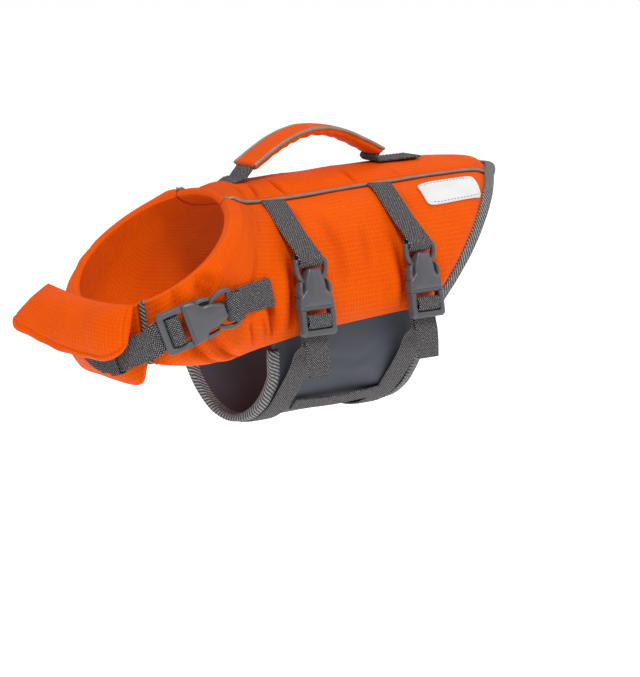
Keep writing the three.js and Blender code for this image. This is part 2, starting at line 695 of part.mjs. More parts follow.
// Neck strap: a short web sewn to the left flank holds the buckle's loop, and a long web runs
// from the right flank round the breast to the adjuster, then back over itself to a keeper
const neckBuckle = { along: 259, angle: 106, lift: foamThickness + 1 };
const neckLoop = { along: 252, angle: 91 };
const neckTab = [
  { along: 218, angle: 75, lift: 0.6 }, { along: 224, angle: 77.5, lift: 0.6 }, { along: 230, angle: 80, lift: 0.6 },
  { along: 236, angle: 82.5, lift: 0.8 }, { along: 241, angle: 85, lift: 1.4 },
];
const neckBase = [
  { along: 262.5, angle: 130, lift: 5 }, { along: 262.5, angle: 138, lift: 2.8 }, { along: 262.3, angle: 147, lift: 1.1 },
  { along: 262.1, angle: 156, lift: 0.3 }, { along: 262.6, angle: 165, lift: 0.3 }, { along: 265.5, angle: 175, lift: 0.6 },
  { along: 268.5, angle: 186, lift: 0.6 }, { along: 269, angle: 197, lift: 0.6 }, { along: 266, angle: 209, lift: 0.8 },
  { along: 260, angle: 222, lift: 1 }, { along: 252, angle: 235, lift: 1 }, { along: 244, angle: 246, lift: 1 },
  { along: 236, angle: 256, lift: 1.2 }, { along: 230, angle: 265, lift: 1 }, { along: 224, angle: 274, lift: 1 },
];
const neckTailRows = 5;
const layerStep = webThickness + 0.45;

function surfacePoints(rows, base) {
  return rows.map((row) => skin(row.along, row.angle, base + row.lift));
}

// The way across webbing that leads towards a buckle
function acrossPath(rows, points) {
  return points.map((point, i) => {
    const tangent = points[Math.max(i - 1, 0)].clone().sub(points[Math.min(i + 1, points.length - 1)]);
    return tangent.cross(bodyNormal(rows[i].along, rows[i].angle)).normalize();
  });
}

function framesAcross(points, across) {
  return points.map((at, i) => {
    const into = at.clone().sub(points[Math.max(i - 1, 0)]).normalize();
    const out = points[Math.min(i + 1, points.length - 1)].clone().sub(at).normalize();
    const tangent = into.add(out).normalize();
    const a = across[i].clone().addScaledVector(tangent, -across[i].dot(tangent)).normalize();
    const share = i === 0 || i === points.length - 1 ? 1 : Math.max(tangent.dot(out), 0.6);
    return { at, a, b: a.clone().cross(tangent).multiplyScalar(1 / share) };
  });
}

const neckCentre = skin(neckBuckle.along, neckBuckle.angle, neckBuckle.lift);
const neckOut = bodyNormal(neckBuckle.along, neckBuckle.angle);
const neckUp = skin(neckLoop.along, neckLoop.angle, neckBuckle.lift).sub(neckCentre);
neckUp.addScaledVector(neckOut, -neckUp.dot(neckOut)).normalize();
const neckFrame = frameAt(neckCentre, neckUp, neckOut);
const neckAcross = new THREE.Vector3().setFromMatrixColumn(neckFrame, 0);
addBuckle('buckle_neck', neckFrame);

const webBase = foamThickness + webThickness / 2;
const tabRows = surfacePoints(neckTab, webBase);
const tabFold = [
  local(neckFrame, 27, 3.2), local(neckFrame, 23.5, 5.4), ...loopFold(neckFrame, [{ along: 3, drop: 0.2 }]),
];
const tabAcross = acrossPath(neckTab, tabRows).map((vector) => vector.negate());
add('web_neck_tab', sweep(
  band(webWidth, webThickness),
  framesAcross([...tabRows, ...tabFold], [...tabAcross, ...tabFold.map(() => neckAcross)]),
), webGrey);

const baseRows = surfacePoints(neckBase, webBase);
const baseAcross = acrossPath(neckBase, [...baseRows]);
const threadedRows = threading.map((row) => local(neckFrame, row.along, row.out));
const foldedRows = surfacePoints(neckBase.slice(0, neckTailRows), webBase + layerStep).reverse();
const foldedAcross = baseAcross.slice(0, neckTailRows).reverse();
add('web_neck', sweep(band(webWidth, webThickness), framesAcross(
  [...foldedRows, ...threadedRows, ...baseRows],
  [...foldedAcross, ...threadedRows.map(() => neckAcross), ...baseAcross],
)), webGrey);

// Keeper: a flat ring of web round both layers of the neck strap
const keeper = { row: 3, wall: 0.9, length: 7 };
const keeperRow = neckBase[keeper.row];
const keeperOut = bodyNormal(keeperRow.along, keeperRow.angle);
const keeperAt = baseRows[keeper.row].clone().addScaledVector(keeperOut, layerStep / 2);
const keeperUp = baseRows[keeper.row - 1].clone().sub(baseRows[keeper.row + 1]);
keeperUp.addScaledVector(keeperOut, -keeperUp.dot(keeperOut)).normalize();
const keeperFrame = frameAt(keeperAt, keeperUp, keeperOut);
const keeperHole = { x: webWidth / 2 + 0.5, z: layerStep / 2 + webThickness / 2 + 0.45 };
const keeperRing = plate(
  mirrored([[keeperHole.x + keeper.wall, -keeperHole.z - keeper.wall], [keeperHole.x + keeper.wall, keeperHole.z + keeper.wall]]),
  [mirrored([[keeperHole.x, -keeperHole.z], [keeperHole.x, keeperHole.z]])],
  -keeper.length / 2,
  keeper.length / 2,
  0,
);
const standUp = new THREE.Matrix4().makeRotationX(Math.PI / 2);
add('web_neck_keeper', placed(keeperRing, keeperFrame.clone().multiply(standUp)), webGrey);

// Chin float: a padded flap that starts at the neck edge in front and droops over the breast
const float = {
  halfWidth: 43, length: 33, backX: -187.2, backZ: -51.7, droop: 57, twist: 22, nearTaper: 0.32, farTaper: 0.04,
  over: 7.5, under: 1.4, rim: 0.9,
};
const floatAcross = [-1, -0.94, -0.84, -0.68, -0.5, -0.25, 0, 0.25, 0.5, 0.68, 0.84, 0.94, 1];
const floatOut = [0, 0.08, 0.2, 0.36, 0.54, 0.72, 0.86, 0.95, 1];
function floatPoint(across, out, upper) {
  const start = new THREE.Vector3(float.backX, float.halfWidth * across, float.backZ + 3 * across ** 2);
  const droop = THREE.MathUtils.degToRad(float.droop - float.twist * across);
  const taper = across < 0 ? float.nearTaper : float.farTaper;
  const reach = float.length * out * (1 - taper * Math.abs(across) ** 5);
  const side = Math.cos((Math.PI / 2) * Math.abs(across) ** 2.4) ** 0.7;
  const over = float.rim + float.over * side * Math.sin(Math.PI * out ** 0.85) ** 0.75;
  const under = float.rim + float.under * side * Math.sin(Math.PI * out ** 1.45);
  const height = upper ? over : -under;
  return start.add(new THREE.Vector3(
    -reach * Math.cos(droop) - height * Math.sin(droop),
    0,
    -reach * Math.sin(droop) + height * Math.cos(droop),
  ));
}
function floatGrid(upper) {
  return floatAcross.map((across) => floatOut.map((out) => floatPoint(across, out, upper)));
}
add('chin_float', shell(floatGrid(true), floatGrid(false)), orange);

export default jacket;
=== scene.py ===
import bmesh
import bpy
import numpy as np
from mathutils import Matrix, Vector


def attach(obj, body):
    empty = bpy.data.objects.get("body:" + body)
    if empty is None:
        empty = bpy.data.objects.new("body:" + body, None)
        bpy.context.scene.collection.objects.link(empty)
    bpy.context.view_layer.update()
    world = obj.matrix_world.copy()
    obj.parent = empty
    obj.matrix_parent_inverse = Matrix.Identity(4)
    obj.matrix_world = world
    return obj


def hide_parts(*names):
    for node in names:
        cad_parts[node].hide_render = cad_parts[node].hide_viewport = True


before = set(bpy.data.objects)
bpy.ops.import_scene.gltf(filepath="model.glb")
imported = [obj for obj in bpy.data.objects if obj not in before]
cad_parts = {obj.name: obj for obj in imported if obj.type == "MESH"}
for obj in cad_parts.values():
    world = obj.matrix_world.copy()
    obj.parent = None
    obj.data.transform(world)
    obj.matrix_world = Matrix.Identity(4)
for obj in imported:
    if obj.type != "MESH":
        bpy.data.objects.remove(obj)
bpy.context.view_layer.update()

# Lengths are millimetres until a mesh is made, then metres. +X runs from the neck to the tail,
# +Z is up and the dog's left side is towards -Y.

cameraView = {
    "place": (-0.9327, -1.1627, 0.1934),
    "right": (0.7880, -0.6157, 0.0),
    "up": (0.1175, 0.1504, 0.9816),
    "back": (-0.6043, -0.7735, 0.1908),
    "lens": 132.94,
}
camera = bpy.data.objects.new("camera", bpy.data.cameras.new("camera"))
camera.data.lens = cameraView["lens"]
camera.data.sensor_width = 36
camera.data.clip_end = 20
turned = Matrix([cameraView["right"], cameraView["up"], cameraView["back"]]).transposed()
camera.matrix_world = Matrix.Translation(cameraView["place"]) @ turned.to_4x4()
bpy.context.collection.objects.link(camera)
bpy.context.scene.camera = camera
print("camera set")


# The wearer's space: ellipses between a top and a low point, from the tail to the neck
bodyShape = {
    "along": [0, 47, 107, 186, 229, 253, 278],
    "topX": [107, 60, 0, -79, -95, -103, -110],
    "topZ": [-2, 0.8, 0, -3, -3, -2, 0],
    "lowX": [107, 60, 0, -79, -150, -178, -182],
    "lowZ": [-118, -128, -134, -134, -126, -98, -56],
    "halfWidth": [46, 51, 53, 51, 52, 53, 50],
}
foam = {
    "thick": 10, "edge": 5, "flatMargin": 14, "boundMargin": 6.5, "roundEdge": 1.6, "seamFull": 0.5, "webBase": 1.4,
}


def unit(v):
    return v / np.maximum(np.linalg.norm(v, axis=-1, keepdims=True), 1e-12)


def smoothCurve(xs, ys):
    # cubic through the points whose slopes are weighted harmonic means of the rises beside them
    xs, ys = np.asarray(xs, float), np.asarray(ys, float)
    step = np.diff(xs)
    rise = np.diff(ys) / step
    before, after = step[:-1], step[1:]
    slopes = np.concatenate([rise[:1], np.zeros(len(xs) - 2), rise[-1:]])
    same = rise[:-1] * rise[1:] > 0
    weighted = (2 * after + before) / np.where(same, rise[:-1], 1) + (after + 2 * before) / np.where(same, rise[1:], 1)
    slopes[1:-1] = np.where(same, 3 * (before + after) / np.where(same, weighted, 1), 0)

    def at(x):
        x = np.asarray(x, float)
        i = np.clip(np.searchsorted(xs, x, side="left") - 1, 0, len(xs) - 2)
        t = np.clip((x - xs[i]) / step[i], 0, 1)
        drop = ys[i + 1] - ys[i]
        bend = (1 - t) * slopes[i] * step[i] - t * slopes[i + 1] * step[i] + (2 * t - 1) * drop
        return ys[i] * (1 - t) + ys[i + 1] * t + t * (1 - t) * bend

    return at


bodyCurve = {key: smoothCurve(bodyShape["along"], values) for key, values in bodyShape.items() if key != "along"}


def bodyPoint(along, angle):
    # an ellipse between the top and low points of the section at that place along the body
    along, angle = np.broadcast_arrays(np.asarray(along, float), np.asarray(angle, float))
    turn = np.radians(angle)
    topX, topZ = bodyCurve["topX"](along), bodyCurve["topZ"](along)
    lowX, lowZ = bodyCurve["lowX"](along), bodyCurve["lowZ"](along)
    half = 0.5 * np.cos(turn)
    return np.stack([
        (topX + lowX) / 2 + (topX - lowX) * half,
        -bodyCurve["halfWidth"](along) * np.sin(turn),
        (topZ + lowZ) / 2 + (topZ - lowZ) * half,
    ], axis=-1)


def bodyNormal(along, angle):
    # the cross product of the step along the body and the step round it
    start = np.clip(along, 1, 277) - 0.5
    ahead = bodyPoint(start + 1, angle) - bodyPoint(start, angle)
    around = bodyPoint(along, np.asarray(angle) + 0.5) - bodyPoint(along, np.asarray(angle) - 0.5)
    return unit(np.cross(ahead, around))


def skin(along, angle, lift):
    return bodyPoint(along, angle) + bodyNormal(along, angle) * np.asarray(lift, float)[..., None]


def travelled(points, axis=0):
    # distance gone along one axis of a grid of points
    gone = np.cumsum(np.linalg.norm(np.diff(points, axis=axis), axis=-1), axis=axis)
    pad = [(0, 0)] * gone.ndim
    pad[axis] = (1, 0)
    return np.pad(gone, pad)


def resampled(points, spacing):
    # the same path on a smooth curve, at even steps
    points = np.asarray(points, float)
    gone = travelled(points)
    steps = np.linspace(0, gone[-1], max(int(round(gone[-1] / spacing)), 2) + 1)
    return np.stack([smoothCurve(gone, points[:, k])(steps) for k in range(points.shape[1])], axis=-1)


def gridQuads(rows, columns):
    i, j = np.meshgrid(np.arange(rows - 1), np.arange(columns - 1), indexing="ij")
    corner = i * columns + j
    return np.stack([corner, corner + columns, corner + columns + 1, corner + 1], axis=-1).reshape(-1, 4)


def facingOut(points, quads):
    # signed volume from the two triangles of each quad, turned round when it is negative
    a, b, c, d = (points[quads[:, k]] for k in range(4))
    volume = np.einsum("ij,ij->i", a, np.cross(b, c)).sum() + np.einsum("ij,ij->i", a, np.cross(c, d)).sum()
    return quads if volume > 0 else quads[:, ::-1]


def gridPart(points, flat=None):
    # one closed or open grid of points as (points, quads, flat pattern coordinates)
    rows, columns = points.shape[:2]
    if flat is None:
        flat = np.stack([travelled(points, 0), travelled(points, 1)], axis=-1)
    return points.reshape(-1, 3), gridQuads(rows, columns), flat.reshape(-1, 2)


def shellPart(outer, inner, flat):
    # two sheets of the same grid that meet all round
    rows, columns = outer.shape[:2]
    points = np.concatenate([outer.reshape(-1, 3), inner.reshape(-1, 3)])
    quads = np.concatenate([gridQuads(rows, columns), gridQuads(rows, columns)[:, ::-1] + rows * columns])
    return points, facingOut(points, quads), np.concatenate([flat.reshape(-1, 2)] * 2)


def carriedPart(section, at, a, b, endPull=1.0, wave=None):
    # a section (x, y) carried along a path: each point lies at + x a + y b, and both ends close
    x, y = section[:, 0], section[:, 1]
    grid = at[:, None] + a[:, None] * x[None, :, None] + b[:, None] * y[None, :, None]
    if wave is not None:
        grid = grid + wave
    gone = travelled(at)
    caps = [at[k] + a[k] * (x * endPull)[:, None] for k in (0, -1)]
    grid = np.concatenate([caps[0][None], grid, caps[1][None]])
    flat = np.stack(np.broadcast_arrays(np.concatenate([gone[:1], gone, gone[-1:]])[:, None], x[None, :]), axis=-1)
    points, quads, flat = gridPart(grid, flat)
    return points, facingOut(points, quads), flat


def addPiece(name, parts, material, nodes=(), subdivide=0, folds=None):
    points, quads, flat, start = [], [], [], 0
    for part in parts:
        points.append(part[0])
        quads.append(part[1] + start)
        flat.append(part[2])
        start += len(part[0])
    points, quads, flat = np.concatenate(points) * 0.001, np.concatenate(quads), np.concatenate(flat) * 0.001
    mesh = bpy.data.meshes.new(name)
    mesh.vertices.add(len(points))
    mesh.vertices.foreach_set("co", points.ravel())
    mesh.loops.add(quads.size)
    mesh.loops.foreach_set("vertex_index", quads.ravel().astype(np.int32))
    mesh.polygons.add(len(quads))
    mesh.polygons.foreach_set("loop_start", np.arange(0, quads.size, 4, dtype=np.int32))
    mesh.update(calc_edges=True)
    layer = mesh.uv_layers.new(name="cut")
    layer.data.foreach_set("uv", flat[quads.ravel()].ravel())
    # painted shade: how dark each crease is painted goes into the attribute named fold
    if folds is not None:
        mesh.attributes.new("fold", "FLOAT", "POINT").data.foreach_set("value", folds.astype(np.float32))
    work = bmesh.new()
    work.from_mesh(mesh)
    bmesh.ops.remove_doubles(work, verts=work.verts, dist=2e-6)
    bmesh.ops.dissolve_degenerate(work, edges=work.edges, dist=1e-7)
    work.to_mesh(mesh)
    work.free()
    mesh.polygons.foreach_set("use_smooth", np.ones(len(mesh.polygons), bool))
    mesh.materials.append(material)
    piece = bpy.data.objects.new(name, mesh)
    bpy.context.collection.objects.link(piece)
    if subdivide:
        modifier = piece.modifiers.new("finer", "SUBSURF")
        modifier.levels = modifier.render_levels = subdivide
    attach(piece, "root")
    if nodes:
        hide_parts(*nodes)
    return piece


def startGroup(name, inputs, outputs):
    group = bpy.data.node_groups.new(name, "ShaderNodeTree")
    for label, kind, value in inputs:
        socket = group.interface.new_socket(name=label, in_out="INPUT", socket_type=kind)
        if value is not None:
            socket.default_value = value
    for label, kind in outputs:
        group.interface.new_socket(name=label, in_out="OUTPUT", socket_type=kind)
    return group, group.nodes.new("NodeGroupInput"), group.nodes.new("NodeGroupOutput")


def maths(tree, operation, first, second=None, third=None):
    node = tree.nodes.new("ShaderNodeMath")
    node.operation = operation
    for socket, value in zip(node.inputs, (first, second, third)):
        if value is None:
            continue
        if isinstance(value, (int, float)):
            socket.default_value = value
        else:
            tree.links.new(value, socket)
    return node.outputs[0]


def yarnDotsGroup():
    # sine along times sine across: raised dots in a checker, as the floats of a woven tape
    group, given, result = startGroup(
        "yarnDots",
        [("Vector", "NodeSocketVector", None), ("Pitch Along", "NodeSocketFloat", 0.0013),
         ("Pitch Across", "NodeSocketFloat", 0.0013), ("Uneven", "NodeSocketFloat", 0.4)],
        [("Height", "NodeSocketFloat"), ("Mask", "NodeSocketFloat")],
    )
    split = group.nodes.new("ShaderNodeSeparateXYZ")
    group.links.new(given.outputs["Vector"], split.inputs[0])
    waves = []
    for axis, pitch in ((0, "Pitch Along"), (1, "Pitch Across")):
        turn = maths(group, "DIVIDE", split.outputs[axis], given.outputs[pitch])
        waves.append(maths(group, "SINE", maths(group, "MULTIPLY", turn, 6.28318)))
    dots = maths(group, "MULTIPLY", waves[0], waves[1])
    noise = group.nodes.new("ShaderNodeTexNoise")
    noise.inputs["Scale"].default_value = 900
    noise.inputs["Detail"].default_value = 2
    group.links.new(given.outputs["Vector"], noise.inputs["Vector"])
    spread = maths(group, "MULTIPLY", maths(group, "SUBTRACT", noise.outputs[0], 0.5), given.outputs["Uneven"])
    height = maths(group, "ADD", maths(group, "MULTIPLY_ADD", dots, 0.5, 0.5), spread)
    mask = group.nodes.new("ShaderNodeMapRange")
    mask.interpolation_type = "SMOOTHSTEP"
    mask.inputs["From Min"].default_value = 0.42
    mask.inputs["From Max"].default_value = 1.0
    group.links.new(height, mask.inputs["Value"])
    group.links.new(height, result.inputs["Height"])
    group.links.new(mask.outputs[0], result.inputs["Mask"])
    return group


def ripstopGroup():
    # distance from the nearest line of a square grid, sharpened to thin threads
    group, given, result = startGroup(
        "ripstopLines",
        [("Vector", "NodeSocketVector", None), ("Pitch", "NodeSocketFloat", 0.0022),
         ("Line Width", "NodeSocketFloat", 0.2)],
        [("Lines", "NodeSocketFloat")],
    )
    split = group.nodes.new("ShaderNodeSeparateXYZ")
    group.links.new(given.outputs["Vector"], split.inputs[0])
    lines = []
    for axis in (0, 1):
        cell = maths(group, "FRACT", maths(group, "DIVIDE", split.outputs[axis], given.outputs["Pitch"]))
        away = maths(group, "MULTIPLY", maths(group, "ABSOLUTE", maths(group, "SUBTRACT", cell, 0.5)), 2)
        line = group.nodes.new("ShaderNodeMapRange")
        line.interpolation_type = "SMOOTHSTEP"
        line.inputs["From Max"].default_value = 1.0
        group.links.new(away, line.inputs["Value"])
        group.links.new(maths(group, "SUBTRACT", 1, given.outputs["Line Width"]), line.inputs["From Min"])
        lines.append(line.outputs[0])
    group.links.new(maths(group, "MAXIMUM", lines[0], lines[1]), result.inputs["Lines"])
    return group


def toneGroup():
    # slow noise that mixes a shade into the colour
    group, given, result = startGroup(
        "clothTone",
        [("Vector", "NodeSocketVector", None), ("Color", "NodeSocketColor", None),
         ("Shade", "NodeSocketColor", None), ("Scale", "NodeSocketFloat", 60.0), ("Amount", "NodeSocketFloat", 0.5)],
        [("Color", "NodeSocketColor")],
    )
    noise = group.nodes.new("ShaderNodeTexNoise")
    noise.inputs["Detail"].default_value = 4
    group.links.new(given.outputs["Vector"], noise.inputs["Vector"])
    group.links.new(given.outputs["Scale"], noise.inputs["Scale"])
    ramp = group.nodes.new("ShaderNodeMapRange")
    ramp.inputs["From Min"].default_value = 0.35
    ramp.inputs["From Max"].default_value = 0.75
    group.links.new(noise.outputs[0], ramp.inputs["Value"])
    mix = group.nodes.new("ShaderNodeMix")
    mix.data_type = "RGBA"
    group.links.new(maths(group, "MULTIPLY", ramp.outputs[0], given.outputs["Amount"]), mix.inputs["Factor"])
    group.links.new(given.outputs["Color"], mix.inputs[6])
    group.links.new(given.outputs["Shade"], mix.inputs[7])
    group.links.new(mix.outputs[2], result.inputs["Color"])
    return group


groups = {"yarnDots": yarnDotsGroup(), "ripstopLines": ripstopGroup(), "clothTone": toneGroup()}


def startMaterial(name, roughness, **uniform):
    material = bpy.data.materials.new(name)
    material.use_nodes = True
    tree = material.node_tree
    shader = tree.nodes["Principled BSDF"]
    shader.inputs["Roughness"].default_value = roughness
    for label, value in uniform.items():
        shader.inputs[label.replace("_", " ")].default_value = value
    return material, tree, shader


def placeGroup(tree, name, vector, **values):
    node = tree.nodes.new("ShaderNodeGroup")
    node.node_tree = groups[name]
    tree.links.new(vector, node.inputs["Vector"])
    for label, value in values.items():
        node.inputs[label.replace("_", " ")].default_value = value
    return node


def cutCoordinates(tree):
    node = tree.nodes.new("ShaderNodeUVMap")
    node.uv_map = "cut"
    return node.outputs[0]


def mixed(tree, factor, first, second):
    node = tree.nodes.new("ShaderNodeMix")
    node.data_type = "RGBA"
    for socket, value in zip((node.inputs["Factor"], node.inputs[6], node.inputs[7]), (factor, first, second)):
        if isinstance(value, (int, float, tuple)):
            socket.default_value = value
        else:
            tree.links.new(value, socket)
    return node.outputs[2]


def addBump(tree, shader, height, distance, strength=1.0, under=None):
    node = tree.nodes.new("ShaderNodeBump")
    node.inputs["Distance"].default_value = distance
    node.inputs["Strength"].default_value = strength
    tree.links.new(height, node.inputs["Height"])
    if under is not None:
        tree.links.new(under, node.inputs["Normal"])
    tree.links.new(node.outputs[0], shader.inputs["Normal"])
    return node.outputs[0]


def noiseNode(tree, vector, scale, detail=3):
    node = tree.nodes.new("ShaderNodeTexNoise")
    node.inputs["Scale"].default_value = scale
    node.inputs["Detail"].default_value = detail
    tree.links.new(vector, node.inputs["Vector"])
    return node.outputs[0]


# the darkest red is painted shade for the creases, mixed in by the attribute fold
shellCloth = {
    "color": (0.69, 0.075, 0.0006, 1), "shade": (0.61, 0.050, 0.0005, 1), "line": (0.80, 0.115, 0.002, 1),
    "paintedShadeColor": (0.30, 0.012, 0.0004, 1), "glint": (1.0, 0.35, 0.06, 1), "pitch": 0.0021, "roughness": 0.6,
}
webbing = {"dark": (0.012, 0.011, 0.013, 1), "light": (0.26, 0.24, 0.245, 1), "pitch": 0.00145, "roughness": 0.85}
bindingTape = {"dark": (0.014, 0.014, 0.016, 1), "light": (0.42, 0.42, 0.425, 1), "roughness": 0.85}
bellyCloth = {"color": (0.043, 0.047, 0.063, 1), "shade": (0.033, 0.037, 0.05, 1), "roughness": 0.6}
buckleLook = {"color": (0.062, 0.063, 0.072, 1), "worn": (0.088, 0.089, 0.098, 1), "roughness": 0.38}
pipingLook = {"color": (0.27, 0.185, 0.155, 1), "shade": (0.17, 0.115, 0.1, 1), "roughness": 0.38}
labelLook = {"color": (0.66, 0.66, 0.65, 1), "shade": (0.55, 0.55, 0.54, 1), "roughness": 0.7}


def shellMaterial():
    # a slow change of tone, paler ripstop threads, a fine weave, soft unevenness of the coat, and painted shade that
    # darkens the creases
    material, tree, shader = startMaterial(
        "ripstopShell", shellCloth["roughness"], Specular_IOR_Level=0.22, Specular_Tint=shellCloth["glint"],
    )
    cut = cutCoordinates(tree)
    tone = placeGroup(tree, "clothTone", cut, Color=shellCloth["color"], Shade=shellCloth["shade"], Scale=45.0, Amount=0.6)
    lines = placeGroup(tree, "ripstopLines", cut, Pitch=shellCloth["pitch"], Line_Width=0.36)
    worn = maths(tree, "MULTIPLY_ADD", noiseNode(tree, cut, 130), 0.7, 0.2)
    faint = maths(tree, "MULTIPLY", lines.outputs["Lines"], worn)
    # painted shade: the attribute fold mixes the darkest red into the creases, where shade would fall
    fold = tree.nodes.new("ShaderNodeAttribute")
    fold.attribute_name = "fold"
    dark = maths(tree, "MULTIPLY", fold.outputs["Fac"], 0.85)
    ripstop = mixed(tree, faint, tone.outputs["Color"], shellCloth["line"])
    tree.links.new(mixed(tree, dark, ripstop, shellCloth["paintedShadeColor"]), shader.inputs["Base Color"])
    weave = placeGroup(tree, "yarnDots", cut, Pitch_Along=0.0006, Pitch_Across=0.0006, Uneven=0.6)
    fine = addBump(tree, shader, weave.outputs["Height"], 0.00012, 0.7)
    ridge = addBump(tree, shader, lines.outputs["Lines"], 0.00022, 0.8, fine)
    addBump(tree, shader, noiseNode(tree, cut, 95, 2), 0.0007, 0.5, ridge)
    return material


def webMaterial():
    material, tree, shader = startMaterial("wovenWebbing", webbing["roughness"], Specular_IOR_Level=0.3)
    cut = cutCoordinates(tree)
    dots = placeGroup(tree, "yarnDots", cut, Pitch_Along=webbing["pitch"], Pitch_Across=webbing["pitch"] * 0.95, Uneven=0.9)
    tree.links.new(mixed(tree, dots.outputs["Mask"], webbing["dark"], webbing["light"]), shader.inputs["Base Color"])
    addBump(tree, shader, dots.outputs["Height"], 0.00032, 1.0)
    return material


def bindingMaterial():
    # ribs across the tape's length, turned a little as a twill is
    material, tree, shader = startMaterial("ribbedBinding", bindingTape["roughness"], Specular_IOR_Level=0.3)
    cut = cutCoordinates(tree)
    dots = placeGroup(tree, "yarnDots", cut, Pitch_Along=0.0011, Pitch_Across=0.011, Uneven=0.7)
    split = tree.nodes.new("ShaderNodeSeparateXYZ")
    tree.links.new(cut, split.inputs[0])
    lean = maths(tree, "ADD", split.outputs[0], maths(tree, "MULTIPLY", split.outputs[1], 0.8))
    rib = maths(tree, "SINE", maths(tree, "MULTIPLY", lean, 6.28318 / 0.0024))
    height = maths(tree, "ADD", maths(tree, "MULTIPLY_ADD", rib, 0.5, 0.5), maths(tree, "MULTIPLY", dots.outputs["Height"], 0.3))
    mask = maths(tree, "MULTIPLY", maths(tree, "POWER", height, 1.6), noiseNode(tree, cut, 700, 2))
    tree.links.new(mixed(tree, mask, bindingTape["dark"], bindingTape["light"]), shader.inputs["Base Color"])
    addBump(tree, shader, height, 0.00025, 0.9)
    return material


def bellyMaterial():
    material, tree, shader = startMaterial("bellyCloth", bellyCloth["roughness"], Specular_IOR_Level=0.35)
    cut = cutCoordinates(tree)
    tone = placeGroup(tree, "clothTone", cut, Color=bellyCloth["color"], Shade=bellyCloth["shade"], Scale=38.0, Amount=0.7)
    tree.links.new(tone.outputs["Color"], shader.inputs["Base Color"])
    weave = placeGroup(tree, "yarnDots", cut, Pitch_Along=0.0006, Pitch_Across=0.0006, Uneven=0.6)
    fine = addBump(tree, shader, weave.outputs["Height"], 0.00008, 0.5)
    addBump(tree, shader, noiseNode(tree, cut, 60, 2), 0.0006, 0.3, fine)
    return material


def plasticMaterial():
    # moulded grain, with the colour a little paler where it is rubbed
    material, tree, shader = startMaterial("buckleAcetal", buckleLook["roughness"])
    place = tree.nodes.new("ShaderNodeTexCoord").outputs["Object"]
    tone = placeGroup(tree, "clothTone", place, Color=buckleLook["color"], Shade=buckleLook["worn"], Scale=160.0, Amount=0.35)
    tree.links.new(tone.outputs["Color"], shader.inputs["Base Color"])
    addBump(tree, shader, noiseNode(tree, place, 2600, 2), 0.00004, 0.5)
    return material


def pipingMaterial():
    # glass-bead tape: fine sparkle over a slow change of tone
    material, tree, shader = startMaterial("reflectivePiping", pipingLook["roughness"], Metallic=0.25)
    cut = cutCoordinates(tree)
    tone = placeGroup(tree, "clothTone", cut, Color=pipingLook["color"], Shade=pipingLook["shade"], Scale=120.0, Amount=0.7)
    tree.links.new(tone.outputs["Color"], shader.inputs["Base Color"])
    addBump(tree, shader, noiseNode(tree, cut, 3000, 1), 0.00006, 0.6)
    return material


def labelMaterial():
    material, tree, shader = startMaterial("labelCloth", labelLook["roughness"])
    cut = cutCoordinates(tree)
    tone = placeGroup(tree, "clothTone", cut, Color=labelLook["color"], Shade=labelLook["shade"], Scale=90.0, Amount=0.5)
    tree.links.new(tone.outputs["Color"], shader.inputs["Base Color"])
    weave = placeGroup(tree, "yarnDots", cut, Pitch_Along=0.0005, Pitch_Across=0.0005, Uneven=0.4)
    addBump(tree, shader, weave.outputs["Height"], 0.0001, 0.7)
    return material


def threadMaterial(name, color, shade):
    material, tree, shader = startMaterial(name, 0.7, Specular_IOR_Level=0.25)
    place = tree.nodes.new("ShaderNodeTexCoord").outputs["Object"]
    tone = placeGroup(tree, "clothTone", place, Color=color, Shade=shade, Scale=900.0, Amount=0.8)
    tree.links.new(tone.outputs["Color"], shader.inputs["Base Color"])
    return material


looks = {
    "shell": shellMaterial(), "web": webMaterial(), "binding": bindingMaterial(), "belly": bellyMaterial(),
    "plastic": plasticMaterial(), "piping": pipingMaterial(), "label": labelMaterial(),
    "orangeThread": threadMaterial("orangeThread", (0.7, 0.07, 0.002, 1), (0.45, 0.03, 0.001, 1)),
    "greyThread": threadMaterial("greyThread", (0.15, 0.15, 0.155, 1), (0.06, 0.06, 0.062, 1)),
}
print("materials made")


# Lines across the foam panels, each from its top edge to its low edge
spineLines = {
    "topAlong": [13, 107, 186, 278], "topAngle": [20.9, 23.4, 24.6, 25],
    "lowAlong": [13, 107, 186, 278], "lowAngle": [-20.9, -23.4, -24.6, -25], "bow": [-13, 0, 0, 0],
}
flankLines = {
    "topAlong": [13, 107, 186, 278, 278, 278, 278], "topAngle": [21.5, 24, 25.2, 26, 100, 117, 130],
    "lowAlong": [89, 107, 186, 216, 223, 233, 245], "lowAngle": [93, 92.5, 96.5, 103, 106, 110, 122],
    "bow": [-6, 0, 0, 0, 0, 0, 0],
}
leftEnd = {"topAlong": [278], "topAngle": [138.6], "lowAlong": [255], "lowAngle": [138.6], "bow": [0]}
rightEnd = {
    "topAlong": [278, 278, 278], "topAngle": [180, 211, 218.4], "lowAlong": [255.5, 249.3, 255],
    "lowAngle": [180, 211.5, 218.4], "bow": [0, 0, 0],
}


def makePanel(side, *tables):
    edges = {key: sum((list(table[key]) for table in tables), []) for key in tables[0]}
    last = len(edges["bow"]) - 1
    curves = {key: smoothCurve(np.arange(last + 1), values) for key, values in edges.items()}
    return {"side": side, "last": last, "curves": curves}


def place(panel, line, share):
    # each line runs from its top edge to its low edge, with a sideways bow halfway
    line, share = np.broadcast_arrays(np.asarray(line, float), np.asarray(share, float))
    curve = panel["curves"]
    along = curve["topAlong"](line) * (1 - share) + curve["lowAlong"](line) * share
    along = along + curve["bow"](line) * 4 * share * (1 - share)
    angle = curve["topAngle"](line) * (1 - share) + curve["lowAngle"](line) * share
    return along, angle * panel["side"]


def stations(total, step):
    # even steps, with a few close ones at both ends so that the edges come out round
    close = np.array([0, 0.2, 0.6, 1.2, 2.0, 3.0])
    middle = np.linspace(4.2, total - 4.2, max(int((total - 8.4) / step), 2))
    return np.concatenate([close, middle, total - close[::-1]]) / total


